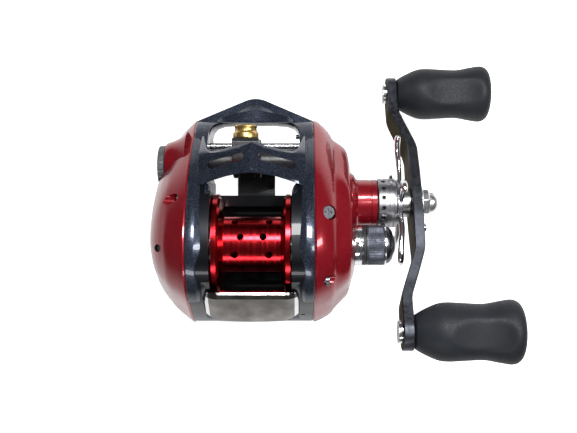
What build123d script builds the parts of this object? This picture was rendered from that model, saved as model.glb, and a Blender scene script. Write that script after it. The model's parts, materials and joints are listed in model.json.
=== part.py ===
"""Low-profile baitcasting reel, right-hand drive, as an assembly of separate pieces.

Frame: +X along the spool axis towards the handle, +Y towards the rod tip, +Z up.
Origin: the underside of the reel foot, on the frame's centre plane, below the spool axis.
Units: millimetres. Every shaft runs parallel to X, so most places are (y, z) pairs.
"""

from build123d import *
from math import acos, cos, degrees, hypot, pi, radians, sin, sqrt, tan, atan2
import os

# ---- driving dimensions -------------------------------------------------------------------
HALF_WIDTH = 18.2          # frame centre plane to each parting plane
INNER_HALF = 11.6          # half of the spool opening
FRONT_HALF = 13.9          # half of the wider opening round the line guide
PALM_DEPTH = 12.3          # palm side plate, beyond the parting plane
GEAR_DEPTH = 12.8          # gear side plate, beyond the parting plane
SHELL = 1.5                # side plate wall
RIM = 2.2                  # frame rim round the side pockets
GAP = 0.05                 # running or assembly clearance

SPOOL_AXIS = (0.0, 24.5)
SPOOL_R = 15.2
OPENING_R = 15.7           # the opening that the spool comes out through
SPOOL_HALF = 11.2
DRUM_R = 8.5
SPOOL_SHAFT_R = 1.25

MODULE = 0.36              # drive gear and pinion
DRIVE_TEETH = 69
PINION_TEETH = 11
GEAR_CENTRES = MODULE * (DRIVE_TEETH + PINION_TEETH) / 2
DRIVE_AXIS = (sqrt(GEAR_CENTRES ** 2 - 49.0), SPOOL_AXIS[1] - 7.0)
WIND_MODULE = 0.6          # level-wind gears
WIND_DRIVER_TEETH = 26
WIND_COG_TEETH = 20
WIND_CENTRES = WIND_MODULE * (WIND_DRIVER_TEETH + WIND_COG_TEETH) / 2
WORM_AXIS = (DRIVE_AXIS[0] + sqrt(WIND_CENTRES ** 2 - 4.8 ** 2), DRIVE_AXIS[1] - 4.8)
GUIDE_ROD_AXIS = (30.6, 9.6)
GUIDE_RING_AXIS = (0.0, 21.0)
CARRIAGE_X = -2.3          # the carriage's place along the worm at rest
BRAKE_MODULE = 0.6         # dial pinion and the sector on the magnet cam ring
DIAL_TEETH = 16
SECTOR_TEETH = 70
DIAL_AXIS = (24.0, 15.0)
PRESSURE_ANGLE = radians(25)

SHAFT_R = 2.9              # drive shaft
SLEEVE_R = 4.0             # sleeve that the roller clutch grips
BOSS_R = 7.2
BOSS_END = 37.2
HANDLE_HALF = 42.5         # drive axis to each knob axis
HANDLE_TILT = radians(149) # direction of the rear arm, from +Y towards +Z
HANDLE_IN = 42.5           # inner face of the arm at the knobs
HANDLE_OUT = 47.4          # inner face of the arm at the shaft
ARM_THICK = 3.1
KNOB_START = 45.8
KNOB_LENGTH = 30.6
CAP_R = 5.9                # cast control cap
CAP_END = 42.2
THUMB_SLIDE = (0.0, -0.53, -0.848)
CENTRE = (5.0, 20.0)       # middle of the side outline

# Side outline at the parting plane, (y, z), clockwise from the top.
OUTLINE = [
    (-2.7, 42.5), (9.0, 40.0), (20.0, 33.0), (30.0, 22.2), (38.3, 9.6), (35.5, 3.6), (20.0, 1.2),
    (0.0, 1.0), (-15.0, 3.0), (-23.2, 9.0), (-23.4, 16.5), (-19.6, 26.0), (-12.8, 37.2),
]

parts = {}


# ---- helpers ------------------------------------------------------------------------------
def rod(x0, x1, r, at, bore=0.0):
    """A round bar or tube along X."""
    low, high = min(x0, x1), max(x0, x1)
    plane = Plane(origin=(low, at[0], at[1]), x_dir=(0, 1, 0), z_dir=(1, 0, 0))
    ring = Circle(r) - Circle(bore) if bore else Circle(r)
    return extrude(plane * ring, high - low)


def block(x, y, z):
    """A box from its (low, high) range on each axis."""
    size = [b - a for a, b in (x, y, z)]
    centre = [(a + b) / 2 for a, b in (x, y, z)]
    return Pos(*centre) * Box(*size)


def side_face(points, x):
    """A closed polygon of (y, z) points on the plane X = x."""
    plane = Plane(origin=(x, 0, 0), x_dir=(0, 1, 0), z_dir=(1, 0, 0))
    return plane * make_face(Polyline(*points, close=True))


def slab(points, x0, x1):
    return extrude(side_face(points, x0), x1 - x0)


def outline(x, inset=0.0):
    """The side outline on the plane X = x, moved towards its middle by one inset or one per point."""
    insets = inset if isinstance(inset, (list, tuple)) else [inset] * len(OUTLINE)
    moved = []
    for (y, z), d in zip(OUTLINE, insets):
        dy, dz = y - CENTRE[0], z - CENTRE[1]
        k = 1 - d / hypot(dy, dz)
        moved.append((CENTRE[0] + k * dy, CENTRE[1] + k * dz))
    plane = Plane(origin=(x, 0, 0), x_dir=(0, 1, 0), z_dir=(1, 0, 0))
    return plane * make_face(Spline(*moved, periodic=True))


def profile_slab(x0, x1, inset=0.0):
    return extrude(outline(min(x0, x1), inset), abs(x1 - x0))


def dome(side, depth, wall, power):
    """A crowned side plate as a solid, or the room inside it when wall is more than zero."""
    start = side * HALF_WIDTH
    sections = []
    for share in (0.0, 0.2, 0.42, 0.64, 0.82, 0.94, 1.0):
        size = max((1 - share) ** (1 / power), 0.16)
        insets = []
        for y, z in OUTLINE:
            reach = hypot(y - CENTRE[0], z - CENTRE[1])
            insets.append((1 - size) * reach + min(wall, 0.9 * reach))
        sections.append(outline(start + side * share * (depth - wall), insets))
    return loft(sections)


def polar(at, r, angle):
    return (at[0] + r * cos(angle), at[1] + r * sin(angle))


def involute(angle):
    return tan(angle) - angle


def gear_points(teeth, module, at, phase, samples=3, slack=0.035, first=0, last=None):
    """Outline points of an involute gear with stub teeth, tooth 0 centred on phase."""
    pitch_r = teeth * module / 2
    base_r = pitch_r * cos(PRESSURE_ANGLE)
    tip_r, root_r = pitch_r + 0.72 * module, pitch_r - 0.98 * module
    half_at_pitch = pi / (2 * teeth) - slack / pitch_r
    start_r = max(base_r, root_r)
    points = []
    for k in range(first, teeth if last is None else last):
        middle = phase + 2 * pi * k / teeth
        flank = []
        for i in range(samples):
            r = start_r + (tip_r - start_r) * i / (samples - 1)
            half = half_at_pitch + involute(PRESSURE_ANGLE) - involute(acos(min(1.0, base_r / r)))
            flank.append((r, half))
        if root_r < start_r - 1e-6:
            flank.insert(0, (root_r, flank[0][1]))
        points += [polar(at, r, middle - half) for r, half in flank]
        points += [polar(at, r, middle + half) for r, half in reversed(flank)]
    return points


def gear(x0, x1, teeth, module, at, phase, bore=0.0, samples=3):
    body = slab(gear_points(teeth, module, at, phase, samples), x0, x1)
    return body - rod(x0 - 1, x1 + 1, bore, at) if bore else body


def bearing(x0, x1, r_out, r_in, at, balls=7):
    """Outer race, inner race and balls, each its own solid with running clearance."""
    ball_r = (r_out - r_in) * 0.23
    track = (r_out + r_in) / 2
    middle = (x0 + x1) / 2
    ring_wall = (r_out - r_in) * 0.3
    ball_track = Rot(0, 90, 0) * Torus(track, ball_r + GAP)
    ball_track = Pos(middle, at[0], at[1]) * ball_track
    outer = rod(x0, x1, r_out, at, r_out - ring_wall) - ball_track
    inner = rod(x0, x1, r_in + ring_wall, at, r_in) - ball_track
    made = [outer, inner]
    for k in range(balls):
        y, z = polar(at, track, 2 * pi * k / balls)
        made.append(Pos(middle, y, z) * Sphere(ball_r))
    return made


def screw(x_head, side, at, shank_r=0.8, head_r=1.5, head_h=1.0, length=6.0):
    """A cross-head screw along X. side is +1 when the head is on the +X end."""
    head = rod(x_head, x_head - side * head_h, head_r, at)
    shank = rod(x_head - side * head_h, x_head - side * length, shank_r, at)
    body = head + shank
    arm, depth = head_r * 0.62, head_h * 0.55
    x = (x_head - depth, x_head + 1) if side > 0 else (x_head - 1, x_head + depth)
    for w, h in ((arm, 0.22), (0.22, arm)):
        body -= block(x, (at[0] - w, at[0] + w), (at[1] - h, at[1] + h))
    return body


def spring(x0, x1, coil_r, wire_r, at, turns):
    """A compression spring along X, with its ends closed off square."""
    path = Helix(pitch=(x1 - x0 - 2 * wire_r) / turns, height=x1 - x0 - 2 * wire_r, radius=coil_r)
    section = Plane(origin=path @ 0, z_dir=path % 0) * Circle(wire_r)
    coil = sweep(section, path=path, is_frenet=True)
    return Pos(x0 + wire_r, at[0], at[1]) * Rot(0, 90, 0) * coil


def soften(shape, sizes, wanted):
    """Fillets the wanted edges at the first size that the shape takes."""
    for size in sizes:
        try:
            softened = fillet(shape.edges().filter_by(wanted), size)
            if softened.is_valid and len(softened.solids()) == len(shape.solids()):
                return softened
        except Exception:
            continue
    return shape


def add(name, *solids):
    """Keeps a node made of one or more solids."""
    kept = []
    for s in solids:
        kept += list(s) if isinstance(s, (list, tuple)) else [s]
    flat = [piece for s in kept for piece in s.solids()]
    parts[name] = flat[0] if len(flat) == 1 else Compound(children=flat)


# ---- frame, foot and hood -----------------------------------------------------------------
WALL_OUT = 14.4            # outer face of the gear-side wall
FRONT_POCKET = 15.7        # where the gear pocket starts ahead of the drive shaft
FOOT_HALF = 6.0
FOOT_TOP = 2.6
POST_PLACES = [polar(SPOOL_AXIS, 9.6, radians(a)) for a in (56, 236)]   # clutch spring posts
PAWL_ANGLE = radians(-118)
PAWL_PIVOT = polar(DRIVE_AXIS, 9.2, PAWL_ANGLE)
FOOT_SCREWS = [(-3.2, -6.0), (3.2, -6.0), (-3.2, 9.0), (3.2, 9.0)]      # x, y
PLATE_SCREWS = [(33.6, 9.0), (-19.6, 12.0), (-9.5, 38.2)]               # y, z, handle side
PALM_SCREWS = [(33.6, 9.0), (-19.6, 12.0), (13.4, 34.6)]                # y, z, palm side
BRAKE_PLATE_SCREWS = [polar(SPOOL_AXIS, 8.6, radians(a)) for a in (100, 190, 290)]
PLATE_LUG = (21.9, 9.7)    # x, y of the screw on top of the gear side plate
HOOD_THICK = 2.3
HOOD_STATIONS = [          # x, rear y, rear z, front y, front z
    (0.0, 21.3, 38.4, 29.7, 34.4),
    (7.5, 19.8, 37.2, 28.7, 33.2),
    (13.6, 18.2, 35.9, 26.8, 30.8),
    (HALF_WIDTH, 17.2, 35.2, 24.4, 29.3),
]


def thumb_place(s, n):
    """(y, z) of a point s along the thumb bar's slide and n out from the spool axis."""
    _, dy, dz = THUMB_SLIDE
    return (SPOOL_AXIS[0] + s * dy + n * dz, SPOOL_AXIS[1] + s * dz - n * dy)


def thumb_slab(corners, x0, x1):
    return slab([thumb_place(s, n) for s, n in corners], x0, x1)


def hood_shape():
    """The chevron roof over the worm, a ruled body through its stations, half at a time."""
    halves = []
    for side in (-1, 1):
        sections = []
        for x, y0, z0, y1, z1 in HOOD_STATIONS:
            corners = [(y0, z0), (y1, z1), (y1 - 0.6, z1 - HOOD_THICK), (y0 + 0.4, z0 - HOOD_THICK)]
            sections.append(side_face(corners, side * x))
        halves.append(loft(sections, ruled=True))
    return halves[0] + halves[1]


def make_hood():
    hood = hood_shape()
    hood = soften(hood, [0.7, 0.5, 0.3], lambda e: e.length > 5 and abs(e.center().X) < 17.5)
    for side in (-1, 1):
        angle = -side * 16.5
        slot = extrude(Rot(0, 0, angle) * SlotOverall(11.2, 2.5), 20)
        hood -= Pos(side * 7.4, 24.5, 26) * slot
    return hood


def nose_bar():
    """The bar across the front, pointed in the middle and sloping down ahead."""
    corners = [(-18.1, 33.0), (-18.1, 38.5), (0, 46.6), (18.1, 38.5), (18.1, 33.0)]
    plan = make_face(Polyline(*corners, close=True))
    plan = fillet(plan.vertices().filter_by(lambda v: v.Y > 40), 8.0)
    bar = Pos(0, 0, 2) * extrude(plan, 14)
    section = [(33, 15.5), (37.0, 11.2), (46.5, 7.4), (46.5, 5.0), (41.0, 3.0), (33, 3.0)]
    return bar & slab(section, -20, 20)


def front_opening():
    """The opening round the line guide, with rounded corners at the nose bar."""
    wide = RectangleRounded(2 * FRONT_HALF, 20.0, 3.4)
    wide = Pos(0, 27.6, -5) * extrude(wide, 60)
    narrow = block((-13.2, 13.2), (15.0, 24.0), (-5, 60))
    return wide + narrow


def gear_pocket():
    """The recess for the gears on the handle side, deeper behind the worm."""
    deep = profile_slab(WALL_OUT, HALF_WIDTH + 0.5, RIM) & block((0, 30), (-40, 21), (-5, 60))
    shallow = profile_slab(FRONT_POCKET, HALF_WIDTH + 0.5, RIM)
    return deep + shallow


def make_frame():
    frame = profile_slab(-HALF_WIDTH, HALF_WIDTH)
    frame = soften(frame, [0.8, 0.5], lambda e: True)
    frame += nose_bar()
    frame -= front_opening()
    frame -= rod(-HALF_WIDTH - 1, INNER_HALF, OPENING_R, SPOOL_AXIS)
    frame -= block((-INNER_HALF, INNER_HALF), (-OPENING_R + 1, 18), (SPOOL_AXIS[1], 60))
    frame -= block((-INNER_HALF, INNER_HALF), (10, 16), (14.0, 60))
    frame -= gear_pocket()
    # seats for the thumb bar and its carrier behind the spool
    frame -= thumb_slab([(-14, 16.55), (15.6, 16.55), (15.6, 26), (-14, 26)], -13.9, 13.9)
    frame -= thumb_slab([(0, 10.8), (18.2, 10.8), (18.2, 18), (0, 18)], -11.1, 11.1)
    frame -= thumb_slab([(10.9, 11.1), (17.3, 11.1), (17.3, 13.3), (10.9, 13.3)], 5, WALL_OUT + 1)
    # bearing seat, drive shaft seat, worm seats and guide rod holes
    frame -= rod(INNER_HALF + 0.4, WALL_OUT + 1, 5.5, SPOOL_AXIS)
    frame -= rod(INNER_HALF - 1, INNER_HALF + 1, 4.4, SPOOL_AXIS)
    frame -= rod(INNER_HALF + 0.4, WALL_OUT + 1, 4.4, DRIVE_AXIS)
    frame += rod(WALL_OUT, WALL_OUT + 1.0, 6.35, SPOOL_AXIS, 5.2) - rod(10, 20, 4.9, SPOOL_AXIS)
    for side in (-1, 1):
        frame -= rod(side * 13, side * 17.0, 3.2, WORM_AXIS)
        frame -= rod(side * 13, side * 15.2, 1.05, GUIDE_ROD_AXIS)
    frame -= rod(-17.0, -HALF_WIDTH - 1, 5.0, WORM_AXIS)
    for at in POST_PLACES:
        frame += rod(WALL_OUT - 0.5, 21.2, 0.9, at)
    frame += rod(WALL_OUT - 0.5, 16.0, 0.7, PAWL_PIVOT)
    # room for the end of the clutch cam's fork
    relief = rod(WALL_OUT - 0.1, 15.5, 21.0, SPOOL_AXIS, 10.0)
    frame -= relief & block((14, 16), (-22, -14), (14.0, 23.9))
    # lug for the screw on top of the gear side plate, hung from the rim
    frame += block((16.0, 23.4), (7.9, 11.6), (30.7, 32.9))
    frame += block((16.0, HALF_WIDTH), (7.9, 11.6), (32.8, 38.6))
    frame -= block((-FOOT_HALF - GAP, FOOT_HALF + GAP), (-40, 60), (-5, FOOT_TOP + GAP))
    frame -= hood_shape()
    for at in FOOT_SCREWS:
        frame -= Pos(at[0], at[1], 2) * Cylinder(0.8, 7, align=(Align.CENTER, Align.CENTER, Align.MIN))
    for at in PLATE_SCREWS:
        frame -= rod(9, 30, 0.75, at)
    for at in PALM_SCREWS:
        frame -= rod(-30, -13.5, 0.75, at)
    frame -= Pos(PLATE_LUG[0], PLATE_LUG[1], 20) * Cylinder(0.75, 40)
    return frame


def make_foot():
    """The foot that the rod seat clamps: a long tapered blade with a raised middle."""
    side = [(-25.5, 0), (30.5, 0), (30.5, 0.9), (16, FOOT_TOP), (-11, FOOT_TOP), (-25.5, 0.9)]
    blade = slab(side, -FOOT_HALF, FOOT_HALF)
    plan = Pos(0, 2.5, 0) * extrude(RectangleRounded(2 * FOOT_HALF, 56.0, 4.0), 8)
    foot = blade & plan
    for x, y in FOOT_SCREWS:
        foot -= Pos(x, y, 1.3) * Cylinder(0.8, 8)
        foot -= Pos(x, y, 0) * Cone(1.6, 0.8, 1.2, align=(Align.CENTER, Align.CENTER, Align.MIN))
    return foot


def make_foot_screws():
    made = []
    for x, y in FOOT_SCREWS:
        low = (Align.CENTER, Align.CENTER, Align.MIN)
        body = Pos(x, y, 0.1) * Cone(1.45, 0.75, 1.1, align=low)
        body += Pos(x, y, 1.0) * Cylinder(0.75, 5.0, align=low)
        for w, h in ((0.8, 0.2), (0.2, 0.8)):
            body -= block((x - w, x + w), (y - h, y + h), (-1, 0.6))
        made.append(body)
    return made


# ---- side plates --------------------------------------------------------------------------
DIAL_FACE = -29.2
PORT_PLACE = (-26.6, -0.5)     # x, y of the oil port on top of the palm plate


def countersink(x_head, side, at):
    """The room that a plate screw needs: a head recess open outwards and a clearance hole."""
    hole = rod(x_head + side * 20, x_head - side * 1.15, 1.6, at)
    return hole + rod(x_head, x_head - side * 16, 0.85, at)


def make_palm_plate():
    plate = dome(-1, PALM_DEPTH, 0.0, 3.0) - dome(-1, PALM_DEPTH, SHELL, 3.0)
    plate += rod(-26.7, -22.0, 7.4, DIAL_AXIS) & dome(-1, PALM_DEPTH + 3, 0.0, 2.0)
    plate -= rod(-24.6, -HALF_WIDTH, 5.9, DIAL_AXIS)
    plate -= rod(-40, -26.7, 6.6, DIAL_AXIS)
    plate -= rod(-40, -10, 2.05, DIAL_AXIS)
    for at in PALM_SCREWS:
        post = rod(-HALF_WIDTH, -23.0, 2.3, at) & dome(-1, PALM_DEPTH, 0.3, 3.0)
        plate += post
        plate -= countersink(-21.2, -1, at)
    for at in BRAKE_PLATE_SCREWS:
        plate += rod(-21.4, -28.9, 1.9, at) & dome(-1, PALM_DEPTH, 0.3, 3.0)
        plate -= rod(-19, -25.6, 0.72, at)
    x, y = PORT_PLACE
    return plate - Pos(x, y, 25) * Cylinder(1.55, 40, align=(Align.CENTER, Align.CENTER, Align.MIN))


def make_gear_plate():
    plate = dome(1, GEAR_DEPTH, 0.0, 3.2) - dome(1, GEAR_DEPTH, SHELL, 3.2)
    # boss for the roller clutch and socket for the cast control cap
    plate -= rod(29.9, 40, 6.1, SPOOL_AXIS)
    plate += rod(24.5, BOSS_END, BOSS_R, DRIVE_AXIS)
    plate += rod(24.6, 36.0, 5.35, SPOOL_AXIS)
    plate -= rod(28.6, BOSS_END + 1, 6.3, DRIVE_AXIS)
    plate -= rod(20, 40, 5.2, DRIVE_AXIS)
    plate -= rod(24.5, 40, 4.0, SPOOL_AXIS)
    plate -= rod(20, 26, 2.2, SPOOL_AXIS)
    plate += rod(24.6, 25.4, 5.35, SPOOL_AXIS, 2.2)
    for at in PLATE_SCREWS:
        plate += rod(HALF_WIDTH, 24.5, 2.3, at) & dome(1, GEAR_DEPTH, 0.3, 3.2)
        plate -= countersink(22.2, 1, at)
    x, y = PLATE_LUG
    up = (Align.CENTER, Align.CENTER, Align.MIN)
    plate += (Pos(x, y, 33.05) * Cylinder(2.6, 12, align=up)) & dome(1, GEAR_DEPTH, 0.3, 3.2)
    plate -= Pos(x, y, 35.2) * Cylinder(1.9, 12, align=up)
    plate -= Pos(x, y, 30) * Cylinder(0.85, 12, align=up)
    return plate


def make_plate_screws():
    made = [screw(-21.1, -1, at, 0.7, 1.5, 1.0, 6.4) for at in PALM_SCREWS]
    made += [screw(22.3, 1, at, 0.7, 1.5, 1.0, 9.6) for at in PLATE_SCREWS]
    x, y = PLATE_LUG
    down = (Align.CENTER, Align.CENTER, Align.MAX)
    top = Pos(x, y, 36.45) * Cylinder(1.8, 1.2, align=down)
    top += Pos(x, y, 35.3) * Cylinder(0.7, 4.4, align=down)
    for w, h in ((1.1, 0.25), (0.25, 1.1)):
        top -= block((x - w, x + w), (y - h, y + h), (35.8, 38))
    return made + [top]


def make_oil_port():
    """A rubber plug pushed into the oil port on top of the palm plate."""
    x, y = PORT_PLACE
    up = (Align.CENTER, Align.CENTER, Align.MIN)
    plug = Pos(x, y, 33.0) * Cylinder(1.5, 12, align=up) & dome(-1, PALM_DEPTH, 0.25, 3.0)
    return plug


# ---- brake --------------------------------------------------------------------------------
PIN_ANGLES = [radians(a) for a in (60, 180, 300)]
SECTOR_PHASE = atan2(DIAL_AXIS[1] - SPOOL_AXIS[1], DIAL_AXIS[0] - SPOOL_AXIS[0])


def make_brake_plate():
    plate = rod(-18.15, -16.6, 15.64, SPOOL_AXIS) + rod(-16.6, -12.2, 15.64, SPOOL_AXIS, 14.4)
    plate += rod(-16.6, -13.4, 4.9, SPOOL_AXIS)
    plate -= rod(-17.4, -12, 4.0, SPOOL_AXIS)
    for angle in PIN_ANGLES:
        plate -= rod(-19, -16, 0.75, polar(SPOOL_AXIS, 5.8, angle))
    for at in BRAKE_PLATE_SCREWS:
        plate += rod(-18.15, -21.35, 1.6, at)
        plate -= rod(-15, -24, 0.72, at)
    return plate


def make_brake_screws():
    return [screw(-15.7, 1, at, 0.68, 1.3, 0.85, 8.4) for at in BRAKE_PLATE_SCREWS]


def make_magnet_carrier():
    carrier = rod(-16.5, -14.3, 6.6, SPOOL_AXIS, 4.97)
    for k in range(8):
        carrier -= rod(-15.4, -14, 0.72, polar(SPOOL_AXIS, 5.8, radians(22.5 + 45 * k)))
    for angle in PIN_ANGLES:
        carrier += rod(-18.35, -16.4, 0.68, polar(SPOOL_AXIS, 5.8, angle))
    return carrier


def make_magnets():
    return [rod(-15.4, -14.2, 0.7, polar(SPOOL_AXIS, 5.8, radians(22.5 + 45 * k))) for k in range(8)]


def make_cam_ring():
    """The ring that pushes the magnet carrier in, turned by the dial through its toothed sector."""
    mesh = SECTOR_PHASE + pi / SECTOR_TEETH
    teeth = gear_points(SECTOR_TEETH, BRAKE_MODULE, SPOOL_AXIS, mesh, 3, 0.06, -1, 6)
    arc = [polar(SPOOL_AXIS, 17.4, mesh + 2 * pi * k / SECTOR_TEETH) for k in (5.2, 3.5, 2, 0.5, -0.8)]
    sector = slab(teeth + arc, -19.9, -18.7)
    hub = rod(-19.9, -18.7, 6.75, SPOOL_AXIS, 4.6)
    reach = SECTOR_PHASE + radians(14)
    spoke = Pos(-19.3, *SPOOL_AXIS) * Rot(degrees(reach), 0, 0) * Pos(0, 12.3, 0) * Box(1.2, 11.4, 3.2)
    return hub + spoke + sector


def make_dial():
    dial = rod(DIAL_FACE, -27.2, 6.3, DIAL_AXIS)
    dial = soften(dial, [0.6, 0.4], lambda e: abs(e.center().X - DIAL_FACE) < 0.1)
    for k in range(24):
        dial -= rod(-29.6, -27, 0.42, polar(DIAL_AXIS, 6.5, 2 * pi * k / 24))
    y, z = DIAL_AXIS
    dial -= block((-31, DIAL_FACE + 0.6), (y - 4.6, y + 4.6), (z - 0.9, z + 0.9))
    dial += rod(-27.3, -19.9, 2.0, DIAL_AXIS)
    turned = SECTOR_PHASE + pi
    dial += gear(-19.9, -18.7, DIAL_TEETH, BRAKE_MODULE, DIAL_AXIS, turned)
    return dial


# ---- spool --------------------------------------------------------------------------------
HOLE_ROWS = 10


def revolve_about_x(points, at):
    """A turned body from (x, r) points about an axis along X."""
    face = make_face(Polyline(*[(x, r, 0) for x, r in points], close=True))
    return Pos(0, at[0], at[1]) * revolve(face, Axis.X)


def make_spool():
    """Two flanges, a pierced drum and the brake cup, turned from one piece."""
    flange = [(8.3, DRUM_R), (9.3, 14.0), (9.9, 14.4), (9.9, SPOOL_R), (SPOOL_HALF, SPOOL_R),
              (SPOOL_HALF, 14.3), (10.3, 13.4), (9.4, 7.4), (9.4, 1.3)]
    core = [(7.6, 1.3), (7.6, 6.6), (7.0, 7.6)]
    right = flange + core
    left = [(-x, r) for x, r in reversed(flange + core)]
    spool = revolve_about_x(right + left, SPOOL_AXIS)
    spool += rod(-9.6, -8.0, 7.4, SPOOL_AXIS, 1.3)
    for k in range(HOLE_ROWS):
        x = 5.0 if k % 2 == 0 else 3.3
        for side in (-1, 1):
            hole = Pos(side * x, 0, 6.5) * Cylinder(1.05, 4.5)
            spool -= Pos(0, *SPOOL_AXIS) * Rot(18 + 36 * k, 0, 0) * hole
    return spool


def make_spool_shaft():
    shaft = rod(-16.9, -10.5, 1.5, SPOOL_AXIS) + rod(-10.5, 9.4, 1.29, SPOOL_AXIS)
    shaft += rod(9.4, 25.5, SPOOL_SHAFT_R, SPOOL_AXIS) + rod(25.5, 36.4, 1.5, SPOOL_AXIS)
    return shaft - spool_pin_shape(0.0)


def spool_pin_shape(grow):
    y, z = SPOOL_AXIS
    return Pos(12.5, y, z) * Cylinder(0.32 + grow, 4.2)


def make_brake_rotor():
    """The aluminium cup that turns through the magnets' field."""
    return rod(-15.6, -9.65, 7.5, SPOOL_AXIS, 6.9) + rod(-10.4, -9.65, 7.0, SPOOL_AXIS, 1.55)


# ---- drive train --------------------------------------------------------------------------
GEAR_PHASE = atan2(SPOOL_AXIS[1] - DRIVE_AXIS[1], SPOOL_AXIS[0] - DRIVE_AXIS[0])
WIND_PHASE = atan2(WORM_AXIS[1] - DRIVE_AXIS[1], WORM_AXIS[0] - DRIVE_AXIS[0])
FLAT = 2.3                 # half distance across the drive shaft's flats
RATCHET_TEETH = 12


def flats(x0, x1, half=FLAT, r=SHAFT_R):
    """A round bar along the drive axis with two flats, for the shaft and for keyed bores."""
    y, z = DRIVE_AXIS
    return rod(x0, x1, r, DRIVE_AXIS) & block((x0 - 1, x1 + 1), (y - 9, y + 9), (z - half, z + half))


def keyed_bore(x0, x1):
    return flats(x0 - 0.5, x1 + 0.5, FLAT + 0.04, SHAFT_R + 0.04)


def make_drive_shaft():
    shaft = rod(12.1, 14.6, 2.5, DRIVE_AXIS) + flats(14.6, 50.55) + rod(50.5, 54.6, 2.25, DRIVE_AXIS)
    return shaft + rod(17.68, 18.3, 6.5, DRIVE_AXIS)


def make_drive_gear():
    gear_body = gear(18.35, 21.4, DRIVE_TEETH, MODULE, DRIVE_AXIS, GEAR_PHASE, SHAFT_R + GAP, 2)
    gear_body -= rod(19.4, 22, 10.3, DRIVE_AXIS)
    for k in range(6):
        gear_body -= rod(18, 20, 1.1, polar(DRIVE_AXIS, 8.4, k * pi / 3))
    return gear_body


def make_drag_washers():
    return [rod(19.45, 19.95, 10.1, DRIVE_AXIS, 3.1), rod(20.65, 21.15, 10.1, DRIVE_AXIS, 3.1)]


def make_keyed_washers():
    """The metal key washer between the drag washers and the pressure plate on top of them."""
    key = rod(20.0, 20.6, 10.0, DRIVE_AXIS) - keyed_bore(20.0, 20.6)
    plate = rod(21.2, 22.2, 9.8, DRIVE_AXIS) - keyed_bore(21.2, 22.2)
    for k in range(8):
        plate -= rod(21, 23, 1.0, polar(DRIVE_AXIS, 7.0, k * pi / 4))
    return [key, plate]


def make_clutch_sleeve():
    sleeve = rod(22.25, 23.0, 6.0, DRIVE_AXIS) + rod(23.0, 38.6, SLEEVE_R, DRIVE_AXIS)
    return sleeve - keyed_bore(22.0, 39.0)


def make_ratchet():
    points = []
    for k in range(RATCHET_TEETH):
        a = 2 * pi * k / RATCHET_TEETH
        points += [polar(DRIVE_AXIS, 6.0, a), polar(DRIVE_AXIS, 4.7, a + 0.03)]
    return slab(points, 14.68, 15.62) - keyed_bore(14.6, 15.7)


def make_wind_driver():
    body = gear(16.1, 17.6, WIND_DRIVER_TEETH, WIND_MODULE, DRIVE_AXIS, WIND_PHASE)
    for k in range(6):
        body -= rod(16, 18, 1.2, polar(DRIVE_AXIS, 5.2, k * pi / 3))
    return body - keyed_bore(16.1, 17.6)


def make_shaft_bushes():
    """Plain bushes: one for the drive shaft's inner end, one for each end of the worm."""
    drive = rod(12.05, 14.38, 4.38, DRIVE_AXIS, 2.55)
    return [drive] + [rod(side * 13.95, side * 15.65, 3.17, WORM_AXIS, 1.65) for side in (-1, 1)]


def make_roller_clutch():
    """A cage with rollers that lock against the sleeve in one direction."""
    cage = rod(28.7, 34.6, 5.6, DRIVE_AXIS, SLEEVE_R + GAP)
    ring = rod(28.7, 34.6, 6.28, DRIVE_AXIS, 5.62)
    made = []
    for k in range(8):
        place = polar(DRIVE_AXIS, 4.83, k * pi / 4)
        cage -= rod(29.3, 34.0, 0.8, place)
        made.append(rod(29.4, 33.9, 0.74, place))
    return [cage, ring] + made


def make_drive_bearing():
    return bearing(34.7, 37.1, 6.28, SLEEVE_R + GAP, DRIVE_AXIS, 9)


def make_pawl():
    """The anti-reverse pawl, on a pin below the ratchet."""
    y, z = PAWL_PIVOT
    tip = polar(DRIVE_AXIS, 6.25, PAWL_ANGLE + 0.26)
    side = polar(DRIVE_AXIS, 7.6, PAWL_ANGLE + 0.36)
    pawl = slab([(y - 1.0, z + 0.3), tip, side, (y + 1.1, z - 0.3)], 14.7, 15.6)
    pawl += rod(14.7, 15.6, 1.4, PAWL_PIVOT)
    return pawl - rod(14, 16, 0.75, PAWL_PIVOT)


# ---- clutch -------------------------------------------------------------------------------
YOKE_LIFT = 1.3
LINK_PIN = (12.0, 12.2)    # s, n of the pin that turns the cam


def make_pinion():
    pinion = rod(12.0, 15.2, 2.5, SPOOL_AXIS) + rod(15.2, 16.5, 1.95, SPOOL_AXIS)
    pinion += rod(16.5, 16.9, 2.5, SPOOL_AXIS)
    turned = GEAR_PHASE + pi + pi / PINION_TEETH
    pinion += gear(16.9, 22.4, PINION_TEETH, MODULE, SPOOL_AXIS, turned)
    pinion -= rod(10, 30, SPOOL_SHAFT_R + GAP, SPOOL_AXIS)
    y, z = SPOOL_AXIS
    return pinion - block((11, 12.95), (y - 0.39, y + 0.39), (z - 5, z + 5))


def make_pinion_bearing():
    return bearing(12.05, 14.35, 5.48, 2.55, SPOOL_AXIS, 8)


def make_yoke():
    """The forked plate in the pinion's groove, guided by two posts."""
    yoke = rod(15.45, 16.25, 4.4, SPOOL_AXIS)
    bar = Pos(15.85, *SPOOL_AXIS) * Rot(56, 0, 0) * Box(0.8, 19.2, 3.0)
    yoke += bar
    for at in POST_PLACES:
        yoke += rod(15.45, 16.25, 1.9, at)
        yoke -= rod(15, 17, 0.96, at)
    yoke -= rod(15, 17, 2.02, SPOOL_AXIS)
    mouth = Pos(15.85, *SPOOL_AXIS) * Rot(146, 0, 0) * Pos(0, 3, 0) * Box(2, 6, 4.04)
    return yoke - mouth


def make_yoke_springs():
    return [spring(16.3, 20.3, 1.35, 0.2, at, 4) for at in POST_PLACES]


def make_post_clips():
    return [rod(20.4, 20.9, 1.7, at, 0.93) for at in POST_PLACES]


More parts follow.
